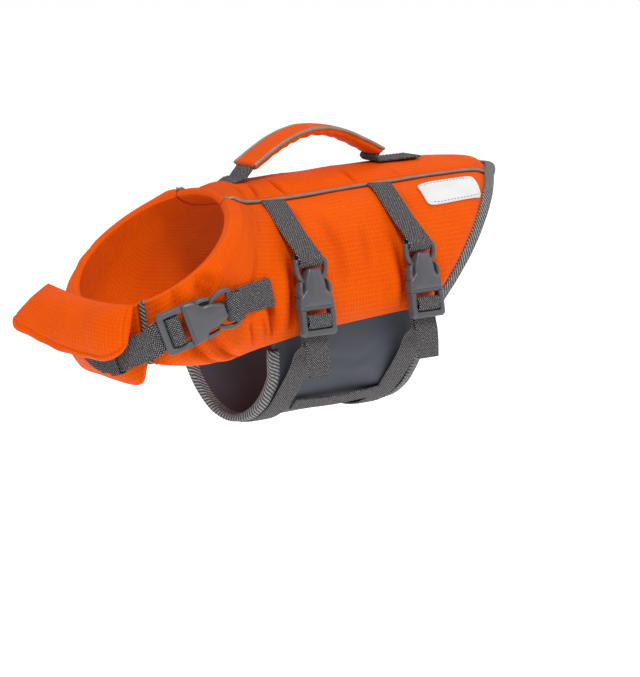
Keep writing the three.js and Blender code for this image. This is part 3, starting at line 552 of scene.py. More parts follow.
def swell(distance, ramp):
    return np.sin(np.pi / 2 * np.clip(distance / ramp, 0, 1))


def creased(base, creases):
    # each crease is a groove with a low ridge on both sides, fading out at its two ends
    depth = np.zeros(base.shape[:-1])
    for crease in creases:
        spots = np.asarray(crease["path"], float)
        steps = np.linspace(0, len(spots) - 1, 28)
        path = bodyPoint(*(np.interp(steps, np.arange(len(spots)), spots[:, k]) for k in (0, 1)))
        away = np.full(base.shape[:-1], 1e9)
        share = np.zeros(base.shape[:-1])
        for k, point in enumerate(path):
            distance = np.linalg.norm(base - point, axis=-1)
            share = np.where(distance < away, k / 27, share)
            away = np.minimum(away, distance)
        fade = np.sin(np.pi * np.clip(share, 0.02, 0.98)) ** 0.7
        width = crease["width"]
        ridge = crease.get("ridge", 0.45)
        groove = np.exp(-((away / width) ** 2)) - ridge * np.exp(-(((away - 2 * width) / width) ** 2))
        depth += crease["depth"] * fade * groove
    return depth


def ripple(along, angle, size):
    # a few long sines that never line up, for cloth over foam that isn't quite even
    around = angle * 0.95
    waves = (
        np.sin(along / 9.7 + 0.6 * np.sin(around / 13.0)) * np.cos(around / 11.3 + 0.4)
        + 0.7 * np.sin(along / 17.1 - around / 8.6 + 1.3)
        + 0.5 * np.sin(along / 5.3 + around / 6.9)
    )
    return size * waves


def panelSheets(panel, step, seams, creases, unevenness):
    # the foam swells from its edges as a quarter sine, and stays half full along the piping
    fine = np.linspace(0, panel["last"], 600)
    gone = travelled(bodyPoint(*place(panel, fine, 0.5)))
    lines = np.interp(stations(gone[-1], step) * gone[-1], gone, fine)
    middle = travelled(bodyPoint(*place(panel, np.full(200, panel["last"] * 0.3), np.linspace(0, 1, 200))))[-1]
    shares = stations(middle, step)
    lineGrid, shareGrid = np.meshgrid(lines, shares, indexing="ij")
    along, angle = place(panel, lineGrid, shareGrid)
    base = bodyPoint(along, angle)
    normal = bodyNormal(along, angle)
    fromTop = travelled(base, 1)
    fromRear = travelled(base, 0)
    fromLow = fromTop[:, -1:] - fromTop
    fromFront = fromRear[-1:] - fromRear
    joined = foam["seamFull"] * (1 - np.clip((lineGrid - 2.6) / 0.4, 0, 1))
    low = joined if panel["last"] == 3 else 0
    puff = (joined + (1 - joined) * swell(fromTop, 13)) * (low + (1 - low) * swell(fromLow, 14))
    puff = puff * swell(fromRear - foam["boundMargin"], 11) * swell(fromFront - foam["boundMargin"], 10)
    full = foam["edge"] + (foam["thick"] - foam["edge"]) * puff
    depth = ripple(along, np.abs(angle), unevenness)
    for seam in seams:
        nearest = np.abs(fromRear - np.stack([np.interp(seam, lines, row) for row in fromRear.T])[None, :])
        depth = depth + 2.6 * np.exp(-((nearest / 3.6) ** 2)) + 1.3 * np.exp(-((nearest / 0.8) ** 2))
    grooves = creased(base, creases)
    depth = depth + grooves
    edge = np.minimum(np.minimum(fromTop, fromLow), np.minimum(fromRear, fromFront))
    t = np.clip(edge / foam["roundEdge"], 0, 1)
    rounded = np.sqrt(1 - (1 - t) ** 2)
    outer = full * (1 + rounded) / 2 - depth * np.clip(puff + 0.12, 0, 1) * rounded
    inner = full * (1 - rounded) / 2
    outer = np.maximum(outer, inner + 0.8 * rounded)
    flat = np.stack([along, np.abs(angle) * 0.95], axis=-1)
    points = {"outer": base + normal * outer[..., None], "inner": base + normal * inner[..., None]}
    # painted shade for the material: deeper grooves are painted darker, on the outer sheet only
    folds = np.clip(grooves / 2.0, 0, 1) * np.clip(puff + 0.12, 0, 1)
    folds = np.concatenate([folds.ravel(), np.zeros(folds.size)])
    return {"lines": lines, "shares": shares, "lift": outer, "flat": flat, "folds": folds, **points}


panels = {
    "spine": makePanel(1, spineLines),
    "left": makePanel(1, flankLines, leftEnd),
    "right": makePanel(-1, flankLines, rightEnd),
}


def crease(depth, width, *path):
    return {"path": path, "depth": depth, "width": width}


def seamPuckers(panel, line, spots):
    # short puckers across a quilt seam, each at a share of the way down, with its own lean
    found = []
    for share, lean, depth in spots:
        along, angle = place(panels[panel], line, share)
        found.append(crease(depth, 2.2, (along - 5, angle - lean), (along + 6, angle + lean)))
    return found


spineCreases = [
    crease(1.7, 1.6, (198, 9), (201.5, 17.2), (204, 24)), crease(1.8, 1.7, (171.5, 5.5), (170.5, 16), (167.5, 23)),
    crease(1.4, 1.4, (122.5, 8), (121.5, 15.2), (120, 22)), crease(0.7, 1.6, (232, 8), (229, 15), (226, 21)),
    crease(0.8, 1.5, (190, -10), (193, -17), (197, -22)), crease(0.9, 1.6, (152, -8), (147, -16), (144, -21)),
    crease(0.7, 1.4, (118, -9), (114, -16), (112, -21)), crease(0.6, 1.8, (92, 13), (86, 20)),
    crease(0.5, 2.0, (60, -12), (66, -20)), crease(0.6, 1.6, (246, -11), (251, -21)),
]
leftCreases = [
    crease(1.8, 2.8, (277, 97.2), (270, 93.2), (263, 90)), crease(1.5, 2.6, (275, 102.5), (268, 98), (261, 94.5)),
    crease(2.2, 3.6, (221, 71), (214.5, 84), (208, 96)), crease(1.5, 1.5, (230, 88), (224, 94), (219, 100)),
    crease(1.7, 1.7, (223, 84), (217, 91), (212, 97)), crease(1.4, 1.3, (215, 87), (212, 91), (209.5, 96)),
    crease(2.8, 3.6, (198, 58), (197, 74), (199, 95)), crease(1.0, 1.6, (178, 30), (176, 38), (177, 47)),
    crease(0.6, 5.0, (160, 38), (155, 58), (158, 78)), crease(0.5, 4.0, (136, 48), (139, 72)),
    crease(2.2, 3.0, (118, 58), (116, 77), (117, 91)), crease(1.3, 3.4, (94, 66), (92.5, 78), (90, 90)),
    crease(0.6, 1.8, (47, 62), (54, 63.5), (61, 64)), crease(0.5, 1.6, (61, 78), (70, 79.5)),
    crease(0.5, 1.8, (36, 48), (46, 50)), crease(0.7, 1.6, (98, 31), (99, 38), (97.5, 46)),
    crease(0.9, 1.8, (196, 31), (199, 40), (198, 50)), crease(0.6, 3.0, (240, 52), (236, 66), (238, 80)),
    *seamPuckers("left", 4, [(0.18, 1.4, 0.6), (0.36, -1.2, 0.5), (0.55, 1.0, 0.7), (0.78, -1.5, 0.6)]),
    *seamPuckers("left", 5, [(0.15, -1.5, 0.5), (0.42, 1.3, 0.6), (0.7, 1.2, 0.5)]),
]
rightCreases = [
    crease(2.0, 1.7, (277, -95), (269, -92), (262, -88)), crease(2.0, 3.4, (218, -72), (215, -83), (211, -95)),
    crease(1.0, 1.6, (228, -86), (221, -99)), crease(0.8, 1.5, (214, -88), (210, -96)),
    crease(2.2, 3.2, (198, -58), (195, -72), (197, -90)), crease(0.7, 1.7, (176, -31), (179, -46)),
    crease(0.6, 5.0, (152, -42), (158, -60), (155, -79)), crease(1.1, 2.8, (98, -60), (96, -75), (98, -91)),
    crease(0.7, 3.2, (121, -66), (124, -80), (122, -91)), crease(0.6, 1.8, (45, -58), (60, -61)),
    crease(0.5, 1.6, (66, -80), (76, -81)), crease(0.9, 1.6, (264, -148), (258, -166)),
    crease(0.8, 2.2, (270, -172), (262, -188)), crease(0.7, 1.6, (266, -199), (257, -212)),
    *seamPuckers("right", 4, [(0.25, 1.4, 0.6), (0.52, -1.2, 0.6), (0.8, 1.0, 0.5)]),
    *seamPuckers("right", 5, [(0.2, -1.3, 0.5), (0.6, 1.3, 0.6)]),
]
sheets = {
    "spine": panelSheets(panels["spine"], 1.5, [], spineCreases, 0.25),
    "left": panelSheets(panels["left"], 1.5, [4, 5], leftCreases, 0.22),
    "right": panelSheets(panels["right"], 1.6, [4, 5], rightCreases, 0.22),
}
for key, name in (("spine", "spine_panel"), ("left", "flank_left"), ("right", "flank_right")):
    sheet = sheets[key]
    part = shellPart(sheet["outer"], sheet["inner"], sheet["flat"])
    piece = addPiece(f"{key}Padding", [part], looks["shell"], [name], folds=sheet["folds"])
print("panels made")


def liftAt(key, line, share):
    # the outer surface's height over the body at a place on a panel, read between grid points
    sheet = sheets[key]
    line, share = np.broadcast_arrays(np.asarray(line, float), np.asarray(share, float))
    i = np.clip(np.searchsorted(sheet["lines"], line) - 1, 0, len(sheet["lines"]) - 2)
    j = np.clip(np.searchsorted(sheet["shares"], share) - 1, 0, len(sheet["shares"]) - 2)
    u = (line - sheet["lines"][i]) / (sheet["lines"][i + 1] - sheet["lines"][i])
    v = (share - sheet["shares"][j]) / (sheet["shares"][j + 1] - sheet["shares"][j])
    lift = sheet["lift"]
    return (lift[i, j] * (1 - u) + lift[i + 1, j] * u) * (1 - v) + (lift[i, j + 1] * (1 - u) + lift[i + 1, j + 1] * u) * v


def onPanel(key, line, share, above):
    along, angle = place(panels[key], line, share)
    return skin(along, angle, liftAt(key, line, share) + above)


def sitting(key, line, share, above):
    # the same on the plain form of the solid, without creases: thickness swells in from the edges
    panel = panels[key]
    line, share = np.broadcast_arrays(np.asarray(line, float), np.asarray(share, float))
    steps = np.linspace(0, 1, 24)
    down = travelled(bodyPoint(*place(panel, line[..., None], steps * 1.0)), line.ndim)
    total = down[..., -1]
    fromTop = share * total
    rear = travelled(bodyPoint(*place(panel, line[..., None] * steps, share[..., None])), line.ndim)[..., -1]
    ahead = line[..., None] + (panel["last"] - line[..., None]) * steps
    front = travelled(bodyPoint(*place(panel, ahead, share[..., None])), line.ndim)[..., -1]
    puff = swell(fromTop, 13) * swell(total - fromTop, 14)
    puff = puff * swell(rear - foam["flatMargin"], 10) * swell(front - foam["flatMargin"], 9)
    along, angle = place(panel, line, share)
    return skin(along, angle, foam["edge"] + (foam["thick"] - foam["edge"]) * puff + above)


piping = {"radius": 1.05, "lift": 0.75}


def roundSection(radiusX, radiusY, sides):
    turn = np.linspace(0, 2 * np.pi, sides + 1)
    return np.stack([radiusX * np.cos(turn), radiusY * np.sin(turn)], axis=-1)


def pathFrames(points, outward):
    tangent = unit(np.gradient(points, axis=0))
    a = unit(np.cross(tangent, outward))
    return a, unit(np.cross(a, tangent))


for key, side, node in (("left", 1, "piping_left"), ("right", -1, "piping_right")):
    lines = np.linspace(0.075, 2.965, 280)
    along, angle = place(panels[key], lines, 0)
    full = foam["seamFull"] * swell(along - 13 - foam["boundMargin"], 11) * swell(278 - foam["boundMargin"] - along, 10)
    full = foam["edge"] + (foam["thick"] - foam["edge"]) * full
    wobble = 0.2 * np.sin(along / 9.0) + 0.1 * np.sin(along / 3.1)
    at = skin(along, angle - 0.3 * side, full + piping["lift"] + 0.12 * np.sin(along / 11.0))
    a, b = pathFrames(at, bodyNormal(along, angle))
    at = at + a * wobble[:, None] * 0.6
    section = roundSection(piping["radius"], piping["radius"], 14)
    piece = addPiece(f"{key}Piping", [carriedPart(section, at, a, b, 0)], looks["piping"], [node])


def foldedTape(reach, thick):
    # the middle line of a tape folded over an edge, from its top lip to its low lip, the way out of
    # it, and its half thickness, which falls to nothing at both lips as a quarter circle
    half = thick / 2 + 0.75
    over = np.stack([np.linspace(reach, 0.2, 8), np.full(8, thick / 2 + half)], axis=-1)
    turn = np.linspace(np.pi / 2, 3 * np.pi / 2, 11)[1:-1]
    fold = np.stack([0.55 * half * np.cos(turn), thick / 2 + half * np.sin(turn)], axis=-1)
    x = np.linspace(0.2, reach, 8)
    under = np.stack([x, thick / 2 - half - x ** 2 / 70], axis=-1)
    line = resampled(np.concatenate([over, fold, under]), 0.55)
    ahead = unit(np.gradient(line, axis=0))
    gone = travelled(line)
    edge = np.clip(np.minimum(gone, gone[-1] - gone) / 0.55, 0, 1)
    return line, np.stack([ahead[:, 1], -ahead[:, 0]], axis=-1), 0.55 * np.sqrt(1 - (1 - edge) ** 2)


def bindingPiece(name, along, angle, offset, inward, reach, thick, node):
    at = skin(along, angle, offset)
    outward = bodyNormal(along, angle)
    tangent = unit(np.gradient(at, axis=0))
    a = unit(np.cross(tangent, outward))
    ahead = skin(along + inward[0], angle + inward[1], offset) - at
    a = np.where((a * ahead).sum(-1, keepdims=True) < 0, -a, a)
    line, out, half = foldedTape(reach, thick)
    gone = travelled(at)
    half = half[None, :] * np.clip(np.minimum(gone, gone[-1] - gone) / 0.8, 0, 1)[:, None] ** 0.5
    uneven = 0.12 * np.sin(gone / 6.3 + 0.7) + 0.08 * np.sin(gone / 2.7)
    sheets = []
    for way in (-1, 1):
        x = line[None, :, 0] + way * half * out[None, :, 0]
        y = line[None, :, 1] + way * half * out[None, :, 1] + (uneven[:, None] * (line[None, :, 1] > thick / 2))
        sheets.append(at[:, None] + a[:, None] * x[..., None] + outward[:, None] * y[..., None])
    flat = np.stack(np.broadcast_arrays(gone[:, None], travelled(line)[None]), axis=-1)
    return addPiece(name, [shellPart(*sheets, flat)], looks["binding"], [node]), at, a, outward


shares = np.linspace(0, 1, 90)
leftRear = place(panels["left"], 0, shares[::-1])
spineRear = place(panels["spine"], 0, np.linspace(0.03, 0.97, 60))
rightRear = place(panels["right"], 0, shares)
rearAlong = np.concatenate([leftRear[0], spineRear[0], rightRear[0]])
rearAngle = np.concatenate([leftRear[1], spineRear[1], rightRear[1]])
rearBinding = bindingPiece("rearBinding", rearAlong, rearAngle, np.zeros(len(rearAlong)), (4, 0), 5.2, 5, "binding_rear")
closureAlong, closureAngle = place(panels["left"], panels["left"]["last"], np.linspace(0, 1, 50))
closureBinding = bindingPiece("closureBinding", closureAlong, closureAngle, np.zeros(50), (0, -3), 2.2, 5, "binding_closure")
print("bindings made")


belly = {
    "angle": [86, 96, 105, 125, 180, 235, 255, 264, 274],
    "rear": [104, 100, 91, 91, 91, 91, 91, 100, 104],
    "front": [205, 203, 202, 197, 195, 197, 202, 203, 205],
    "outer": -0.3, "thick": 1.7,
}
bellyRear = smoothCurve(belly["angle"], belly["rear"])
bellyFront = smoothCurve(belly["angle"], belly["front"])
bellyCreases = [
    crease(0.7, 3.5, (112, 108), (140, 118), (172, 112)), crease(0.6, 3.0, (118, 252), (150, 243), (176, 249)),
    crease(0.5, 4.0, (104, 150), (126, 160), (140, 178)), crease(0.5, 4.0, (188, 165), (168, 184), (150, 205)),
    crease(0.6, 2.2, (100, 128), (112, 133)), crease(0.6, 2.2, (194, 131), (182, 137)),
]


def bellySheets():
    angles = np.linspace(86.2, 273.8, 200)
    steps = np.linspace(0, 1, 90)
    angle, t = np.meshgrid(angles, steps, indexing="ij")
    along = bellyRear(angle) * (1 - t) + bellyFront(angle) * t
    base = bodyPoint(along, angle)
    normal = bodyNormal(along, angle)
    depth = creased(base, bellyCreases) + ripple(along, angle, 0.16)
    edge = np.minimum(np.minimum(t, 1 - t) * 100, np.minimum(angle - 86.2, 273.8 - angle))
    fade = np.clip(edge / 5, 0, 1)
    rounded = np.sqrt(1 - (1 - np.clip(edge / 1.2, 0, 1)) ** 2)
    top = belly["outer"] - 0.3 - depth * fade
    half = belly["thick"] / 2
    outer = top - half + half * rounded
    inner = top - half - half * rounded
    flat = np.stack([along, angle * 1.05], axis=-1)
    return base + normal * outer[..., None], base + normal * inner[..., None], flat


bellyOuter, bellyInner, bellyFlat = bellySheets()
bellyPiece = addPiece("bellyPanel", [shellPart(bellyOuter, bellyInner, bellyFlat)], looks["belly"], ["belly_panel"])
bellyAngles = np.linspace(104.5, 255.5, 150)
frontBinding = bindingPiece(
    "bellyFrontBinding", bellyFront(bellyAngles), bellyAngles, np.full(150, -2.8), (-4, 0), 5, 2.5, "binding_belly_front",
)
backBinding = bindingPiece(
    "bellyRearBinding", bellyRear(bellyAngles), bellyAngles, np.full(150, -2.8), (4, 0), 5, 2.5, "binding_belly_rear",
)
print("belly panel made")


web = {"width": 16, "thick": 1.6, "spacing": 1.1}


def strapSection(width, thick):
    # a flat band with round edges, its first point repeated at the end
    turn = np.linspace(0, 2 * np.pi, 33)
    c, s = np.cos(turn), np.sin(turn)
    x = width / 2 * np.sign(c) * np.abs(c) ** 0.38
    y = thick / 2 * np.sign(s) * np.abs(s) ** 0.5
    return np.stack([x, y], axis=-1)


def strapPart(points, across, width=16, thick=1.6, spacing=1.1, sway=0.0):
    # the path and the direction across it are made smooth together, then the band is carried
    points = np.asarray(points, float)
    across = np.broadcast_to(np.asarray(across, float), points.shape)
    both = np.concatenate([points, across * 1e-3], axis=-1)
    both = resampled(both, spacing)
    at = both[:, :3]
    tangent = unit(np.gradient(at, axis=0))
    a = unit(both[:, 3:] - tangent * (both[:, 3:] * tangent).sum(-1, keepdims=True))
    b = unit(np.cross(a, tangent))
    gone = travelled(at)
    at = at + a * (sway * np.sin(gone / 23.0))[:, None]
    return carriedPart(strapSection(width, thick), at, a, b, 1), at, a, b


buckleLift = 0.8


def toWorld(points, at, x, y, z):
    return at + points[..., :1] * x + points[..., 1:2] * y + points[..., 2:] * z


def slabPart(outline, low, high, centre=(0, 0), fullness=5, dome=0.0, rings=9):
    # rings from the middle of the underside out to the outline and back to the middle of the top:
    # height = half thickness times (1 - r ** n) ** (1 / n), and the top swells by dome (1 - r ** 2)
    outline = np.asarray(outline, float)
    outline = np.concatenate([outline, outline[:1]])
    turn = np.linspace(0, np.pi, 2 * rings + 1)
    r = np.sin(turn) ** (2 / fullness)
    rise = -np.sign(np.cos(turn)) * np.abs(np.cos(turn)) ** (2 / fullness)
    middle, half = (low + high) / 2, (high - low) / 2
    z = middle + half * rise + dome * (1 - r ** 2) * (turn > np.pi / 2)
    xy = np.asarray(centre) + (outline[None] - np.asarray(centre)) * r[:, None, None]
    grid = np.concatenate([xy, np.broadcast_to(z[:, None, None], xy.shape[:2] + (1,))], axis=-1)
    points, quads, flat = gridPart(grid)
    return points, facingOut(points, quads), flat


def ringPart(path, width, low, high, fullness=4):
    # a rounded section carried round a closed path in the buckle's plane
    path = np.asarray(path, float)
    path = np.concatenate([path, path[:1]])
    ahead = unit(np.roll(path[:-1], -1, axis=0) - np.roll(path[:-1], 1, axis=0))
    ahead = np.concatenate([ahead, ahead[:1]])
    side = np.stack([ahead[:, 1], -ahead[:, 0]], axis=-1)
    turn = np.linspace(0, 2 * np.pi, 17)
    x = width / 2 * np.sign(np.cos(turn)) * np.abs(np.cos(turn)) ** (2 / fullness)
    z = (low + high) / 2 + (high - low) / 2 * np.sign(np.sin(turn)) * np.abs(np.sin(turn)) ** (2 / fullness)
    xy = path[:, None] + side[:, None] * x[None, :, None]
    grid = np.concatenate([xy, np.broadcast_to(z[None, :, None], xy.shape[:2] + (1,))], axis=-1)
    points, quads, flat = gridPart(grid)
    return points, facingOut(points, quads), flat


def cornered(points, radius, count=80):
    # a closed outline with its corners eased by averaging along its length
    whole = np.concatenate([np.asarray(points, float), np.asarray(points[:1], float)])
    gone = travelled(whole)
    steps = np.linspace(0, gone[-1], count * 4, endpoint=False)
    line = np.stack([np.interp(steps, gone, whole[:, k]) for k in (0, 1)], axis=-1)
    reach = max(int(radius / (gone[-1] / (count * 4))), 1)
    kernel = np.ones(2 * reach + 1) / (2 * reach + 1)
    padded = np.concatenate([line[-reach:], line, line[:reach]])
    eased = np.stack([np.convolve(padded[:, k], kernel, "valid") for k in (0, 1)], axis=-1)
    return eased[::4]


def mirrorPoints(points):
    return [*points, *[(-x, y) for x, y in reversed(points)]]


def femaleParts():
    # an arrow-shaped body under which the loop's arms run out to the bar
    ring = cornered(mirrorPoints([(9.9, 20.2), (10.4, 16.8), (9.9, 13.2), (8.2, 9.8), (5.2, 7.4)]), 1.4)
    loop = ringPart(ring, 2.7, 1.6, 5.2, 3)
    bar = slabPart(cornered(mirrorPoints([(9.8, 21.4), (9.8, 18.6)]), 0.8, 40), 1.8, 4.8, (0, 20.0), 3)
    arrow = cornered(mirrorPoints([
        (1.3, 15.3), (3.4, 15.6), (4.4, 14.0), (5.4, 11.4), (6.5, 8.8), (7.1, 6.4), (7.1, 4.4), (7.9, 2.5), (9.9, 1.0),
        (11.3, -0.8), (11.9, -3.2), (12.0, -7.0),
    ]), 0.55, 130)
    body = slabPart(arrow, 0.6, 7.5, (0, 1.0), 7, 0.9, 12)
    wall = [(7.6, 1.6), (8.4, 4.0), (8.2, 7.0), (7.4, 9.0), (5.6, 9.4), (4.4, 4.0)]
    under = slabPart(cornered(mirrorPoints(wall[::-1]), 0.8, 60), 0.7, 3.6, (0, 5.5), 4)
    lip = slabPart(cornered(mirrorPoints([(12.05, -6.2), (12.05, -7.6)]), 0.35, 60), 0.5, 7.7, (0, -6.9), 8)
    return [loop, bar, body, under, lip]


def maleParts():
    # two deep side walls, three bars with slots for the web between them, and the side prongs
    walls = [
        slabPart(cornered([(side * x, y) for x, y in ((8.7, -7.4), (12.0, -7.4), (12.0, -21.6), (11.2, -22.6), (8.7, -22.6))],
                          0.6, 60), 2.2, 7.4, (side * 10.4, -15), 6)
        for side in (1, -1)
    ]
    top = slabPart(cornered(mirrorPoints([(10.0, -6.6), (10.0, -8.2)]), 0.4, 48), 2.6, 7.2, (0, -7.4), 5)
    middle = slabPart(cornered(mirrorPoints([(9.6, -12.4), (9.6, -15.4)]), 0.8, 48), 3.4, 6.4, (0, -13.9), 4)
    end = slabPart(cornered(mirrorPoints([(11.4, -19.2), (11.4, -22.9)]), 0.9, 60), 3.0, 7.2, (0, -21.1), 5, 0.2)
    bulge = ((9.0, -0.6), (11.3, -0.2), (11.8, 3.0), (11.2, 6.2), (9.9, 8.6), (8.6, 8.8), (8.9, 6.4), (9.3, 3.4))
    prongs = [
        slabPart(cornered([(side * x, y) for x, y in bulge], 0.6, 60), 1.6, 6.8, (side * 10.2, 4.0), 4, 0.3)
        for side in (1, -1)
    ]
    return [*walls, top, middle, end, *prongs]


def addBuckle(name, at, up, outward):
    z = unit(outward)
    x = unit(np.cross(up, z))
    y = np.cross(z, x)
    for half, parts in (("female", femaleParts()), ("male", maleParts())):
        placed = [(toWorld(points, at, x, y, z), quads, flat) for points, quads, flat in parts]
        addPiece(f"{name}Buckle{half.title()}", placed, looks["plastic"], [f"buckle_{name}_{half}"])
    return lambda along, out: at + y * along + z * out, x


threading = [
    (-23.5, 2.2), (-20.6, 2.5), (-18.6, 4.6), (-17.2, 7.6), (-15.6, 8.4), (-13.4, 8.4),
    (-12.0, 7.8), (-11.5, 6.4), (-11.5, 2.6), (-12.1, 1.0), (-13.8, 0.4), (-21.5, 0.2),
]


def loopFold(local, under):
    turn = np.radians([0, 30, 60, 90, 120, 150, 180])
    fold = [local(19.8 - 3.0 * np.sin(t), 3.2 + 3.0 * np.cos(t)) for t in turn]
    return fold + [local(19.8 + along, 3.2 - 3.0 - drop) for along, drop in under]


girths = {
    "front": {"line": 2, "along": 186, "share": 0.738}, "rear": {"line": 1, "along": 107, "share": 0.785},
}
underBelly = {
    "angle": [104, 112, 120, 130, 142, 154, 167, 180, 193, 206, 218, 230, 241, 250, 256.5, 261],
    "lift": [8.4, 6, 3.6, 1.8, 1.3, 1.3, 1.3, 1.3, 1.3, 1.3, 1.3, 1.4, 1.9, 3, 5, 7.4],
}
sideways = [-1.5, -2.0, -2.5, -2.9, -3.1, -3.0, -2.2, -0.8]
rightShares = np.array([0.93, 0.86, 0.79, 0.7, 0.6, 0.5, 0.4, 0.3, 0.2, 0.12, 0.05])
for name, girth in girths.items():
    along, angle = place(panels["left"], girth["line"], girth["share"])
    centre = sitting("left", girth["line"], girth["share"], buckleLift)
    outward = bodyNormal(along, angle) * [0, 1, 1]
    up = np.cross(outward, [1.0, 0, 0])
    up = up * np.sign(up[2])
    local, across = addBuckle(name, centre, up, outward)
    keepX = np.array([centre[0], 0, 0])
    upper = onPanel("left", np.full(5, girth["line"]), np.array([0.02, 0.05, 0.09, 0.14, 0.19]), 1.15)
    upper = np.concatenate([upper, [(upper[4] + local(24, 5.0)) / 2, local(24, 5.0)], loopFold(local, [(3.6, 0.2)])])
    upper = upper * [0, 1, 1] + keepX
    upper[:, 0] += np.interp(np.arange(len(upper)), np.arange(8), sideways)
    part, at, a, b = strapPart(upper, (1, 0, 0))
    addPiece(f"{name}UpperWeb", [part], looks["web"], [f"web_{name}_upper"])
    tail = [local(-46.5, 1.4), local(-38, 2.6), local(-29.7, 2.9)]
    below = skin(np.full(16, girth["along"]), np.array(underBelly["angle"]), -0.3 + np.array(underBelly["lift"]))
    sewn = sitting("right", girth["line"], rightShares, foam["webBase"])
    lower = np.concatenate([tail, [local(*row) for row in threading], [local(-27, -0.8)], below, sewn])
    lower = lower * [0, 1, 1] + keepX
    part, at, a, b = strapPart(lower, (1, 0, 0), spacing=1.0)
    addPiece(f"{name}LowerWeb", [part], looks["web"], [f"web_{name}_lower"])

for side, node in ((1, "belly_web_left"), (-1, "belly_web_right")):
    along = np.linspace(107 + 8.2, 186 - 8.2, 12)
    lift = 2.1 + 1.6 * np.sin(np.pi * np.linspace(0, 1, 12))
    at = skin(along, np.full(12, 143.0 * side), -0.3 + lift)
    normal = bodyNormal(along, np.full(12, 143.0 * side))
    tangent = unit(np.gradient(at, axis=0))
    part, at, a, b = strapPart(at, unit(np.cross(tangent, normal)), 10)
    addPiece("leftBellyWeb" if side > 0 else "rightBellyWeb", [part], looks["web"], [node])
print("girth straps made")


grip = {"width": 19, "thick": 6.4, "rise": -2}
gripPath = [
    (16, 17.6), (9, 21.2), (0, 25.2), (-8, 28.6), (-16, 31.2), (-25, 33), (-34, 33.2), (-44, 31.6), (-54, 28.4),
    (-64, 23.6), (-72, 19), (-79, 14.8),
]


def midPlane(points):
    points = np.asarray(points, float)
    return np.stack([points[:, 0], np.zeros(len(points)), points[:, 1]], axis=-1)


def gripParts():
    # a lens of two cloths joined at its sides, the top full and the underside gathered in small folds
    at = resampled(midPlane(gripPath), 1.0)
    tangent = unit(np.gradient(at, axis=0))
    a = np.broadcast_to([0.0, 1.0, 0.0], at.shape)
    b = unit(np.cross(a, tangent))
    gone = travelled(at)
    turn = np.linspace(0, 2 * np.pi, 65)
    c, s = np.cos(turn), np.sin(turn)
    x = grip["width"] / 2 * np.sign(c) * np.abs(c) ** 0.75
    y = grip["thick"] / 2 * np.sign(s) * np.abs(s) ** 0.7
    under = np.clip(-s, 0, 1)
    over = np.clip(s, 0, 1)
    gather = 0.5 * np.sin(gone[:, None] / 1.35 + 1.1 * np.sin(gone[:, None] / 6.1) + 0.5 * x[None] / 3)
    gather = gather * (under ** 0.5)[None] * (0.35 + 0.65 * np.sin(np.pi * gone / gone[-1])[:, None] ** 2)
    soft = 0.22 * np.sin(gone[:, None] / 9.0 + x[None] / 5.0) * over[None]
    sides = 0.35 * np.sin(gone[:, None] / 5.2)
    end = np.clip(np.minimum(gone, gone[-1] - gone) / 3.5, 0, 1)
    thin = (0.45 + 0.55 * np.sqrt(1 - (1 - end) ** 2))[:, None]
    grid = at[:, None] + a[:, None] * (x[None] + sides * np.sign(x)[None] * 0.4)[..., None]
    grid = grid + b[:, None] * (y[None] * thin + gather * end[:, None] + soft)[..., None]
    caps = [at[k] + a[k] * x[:, None] for k in (0, -1)]
    grid = np.concatenate([caps[0][None], grid, caps[1][None]])
    flat = np.stack(np.broadcast_arrays(np.concatenate([gone[:1], gone, gone[-1:]])[:, None], x[None] * 1.2), axis=-1)
    points, quads, flat = gridPart(grid, flat)
    return (points, facingOut(points, quads), flat), at, b


gripPart, gripAt, gripOut = gripParts()
gripPiece = addPiece("handleGrip", [gripPart], looks["shell"], ["handle_grip"])
for side, node in ((1, "handle_piping_right"), (-1, "handle_piping_left")):
    at = gripAt + gripOut * 1.6 + np.array([0, side * (grip["width"] / 2 + 0.2), 0])
    a = np.broadcast_to([0.0, 1.0, 0.0], at.shape)
    section = roundSection(1.15, 1.05, 12)
    name = "rightHandlePiping" if side > 0 else "leftHandlePiping"
    addPiece(name, [carriedPart(section, at, a, gripOut, 0)], looks["piping"], [node])


def spineTop(x, above):
    # height of the spine strip's crown over a place on the mid-plane
    lines = np.linspace(0, panels["spine"]["last"], 500)
    crown = sitting("spine", lines, np.full(500, 0.5), above)
    order = np.argsort(crown[:, 0])
    x = np.asarray(x, float)
    return np.stack([x, np.zeros_like(x), np.interp(x, crown[order, 0], crown[order, 2])], axis=-1)


feet = {
    "Rear": {"end": 0, "towards": 1, "bend": 14, "reach": 33, "node": "handle_web_rear"},
    "Front": {"end": -1, "towards": -1, "bend": -84, "reach": 11, "node": "handle_web_front"},
}
footPaths = {}
for name, foot in feet.items():
    start = gripAt[foot["end"]]
    turn = spineTop([foot["bend"]], foam["webBase"] + 2.6)[0] - [1.2 * foot["towards"], 0, 0]
    middle = (start + turn) / 2
    flat = spineTop(foot["bend"] + foot["towards"] * np.linspace(1.6, foot["reach"], 6), foam["webBase"])
    part, at, a, b = strapPart(np.concatenate([[start, middle, turn], flat]), (0, 1, 0), 16.5)
    footPaths[name] = (at, a, b)
    addPiece(f"handleWeb{name}", [part], looks["web"], [foot["node"]])
print("handle made")


label = {"fromAlong": 39, "toAlong": 85, "fromShare": 0.1, "toShare": 0.31, "thick": 1.0, "lift": 0.15}


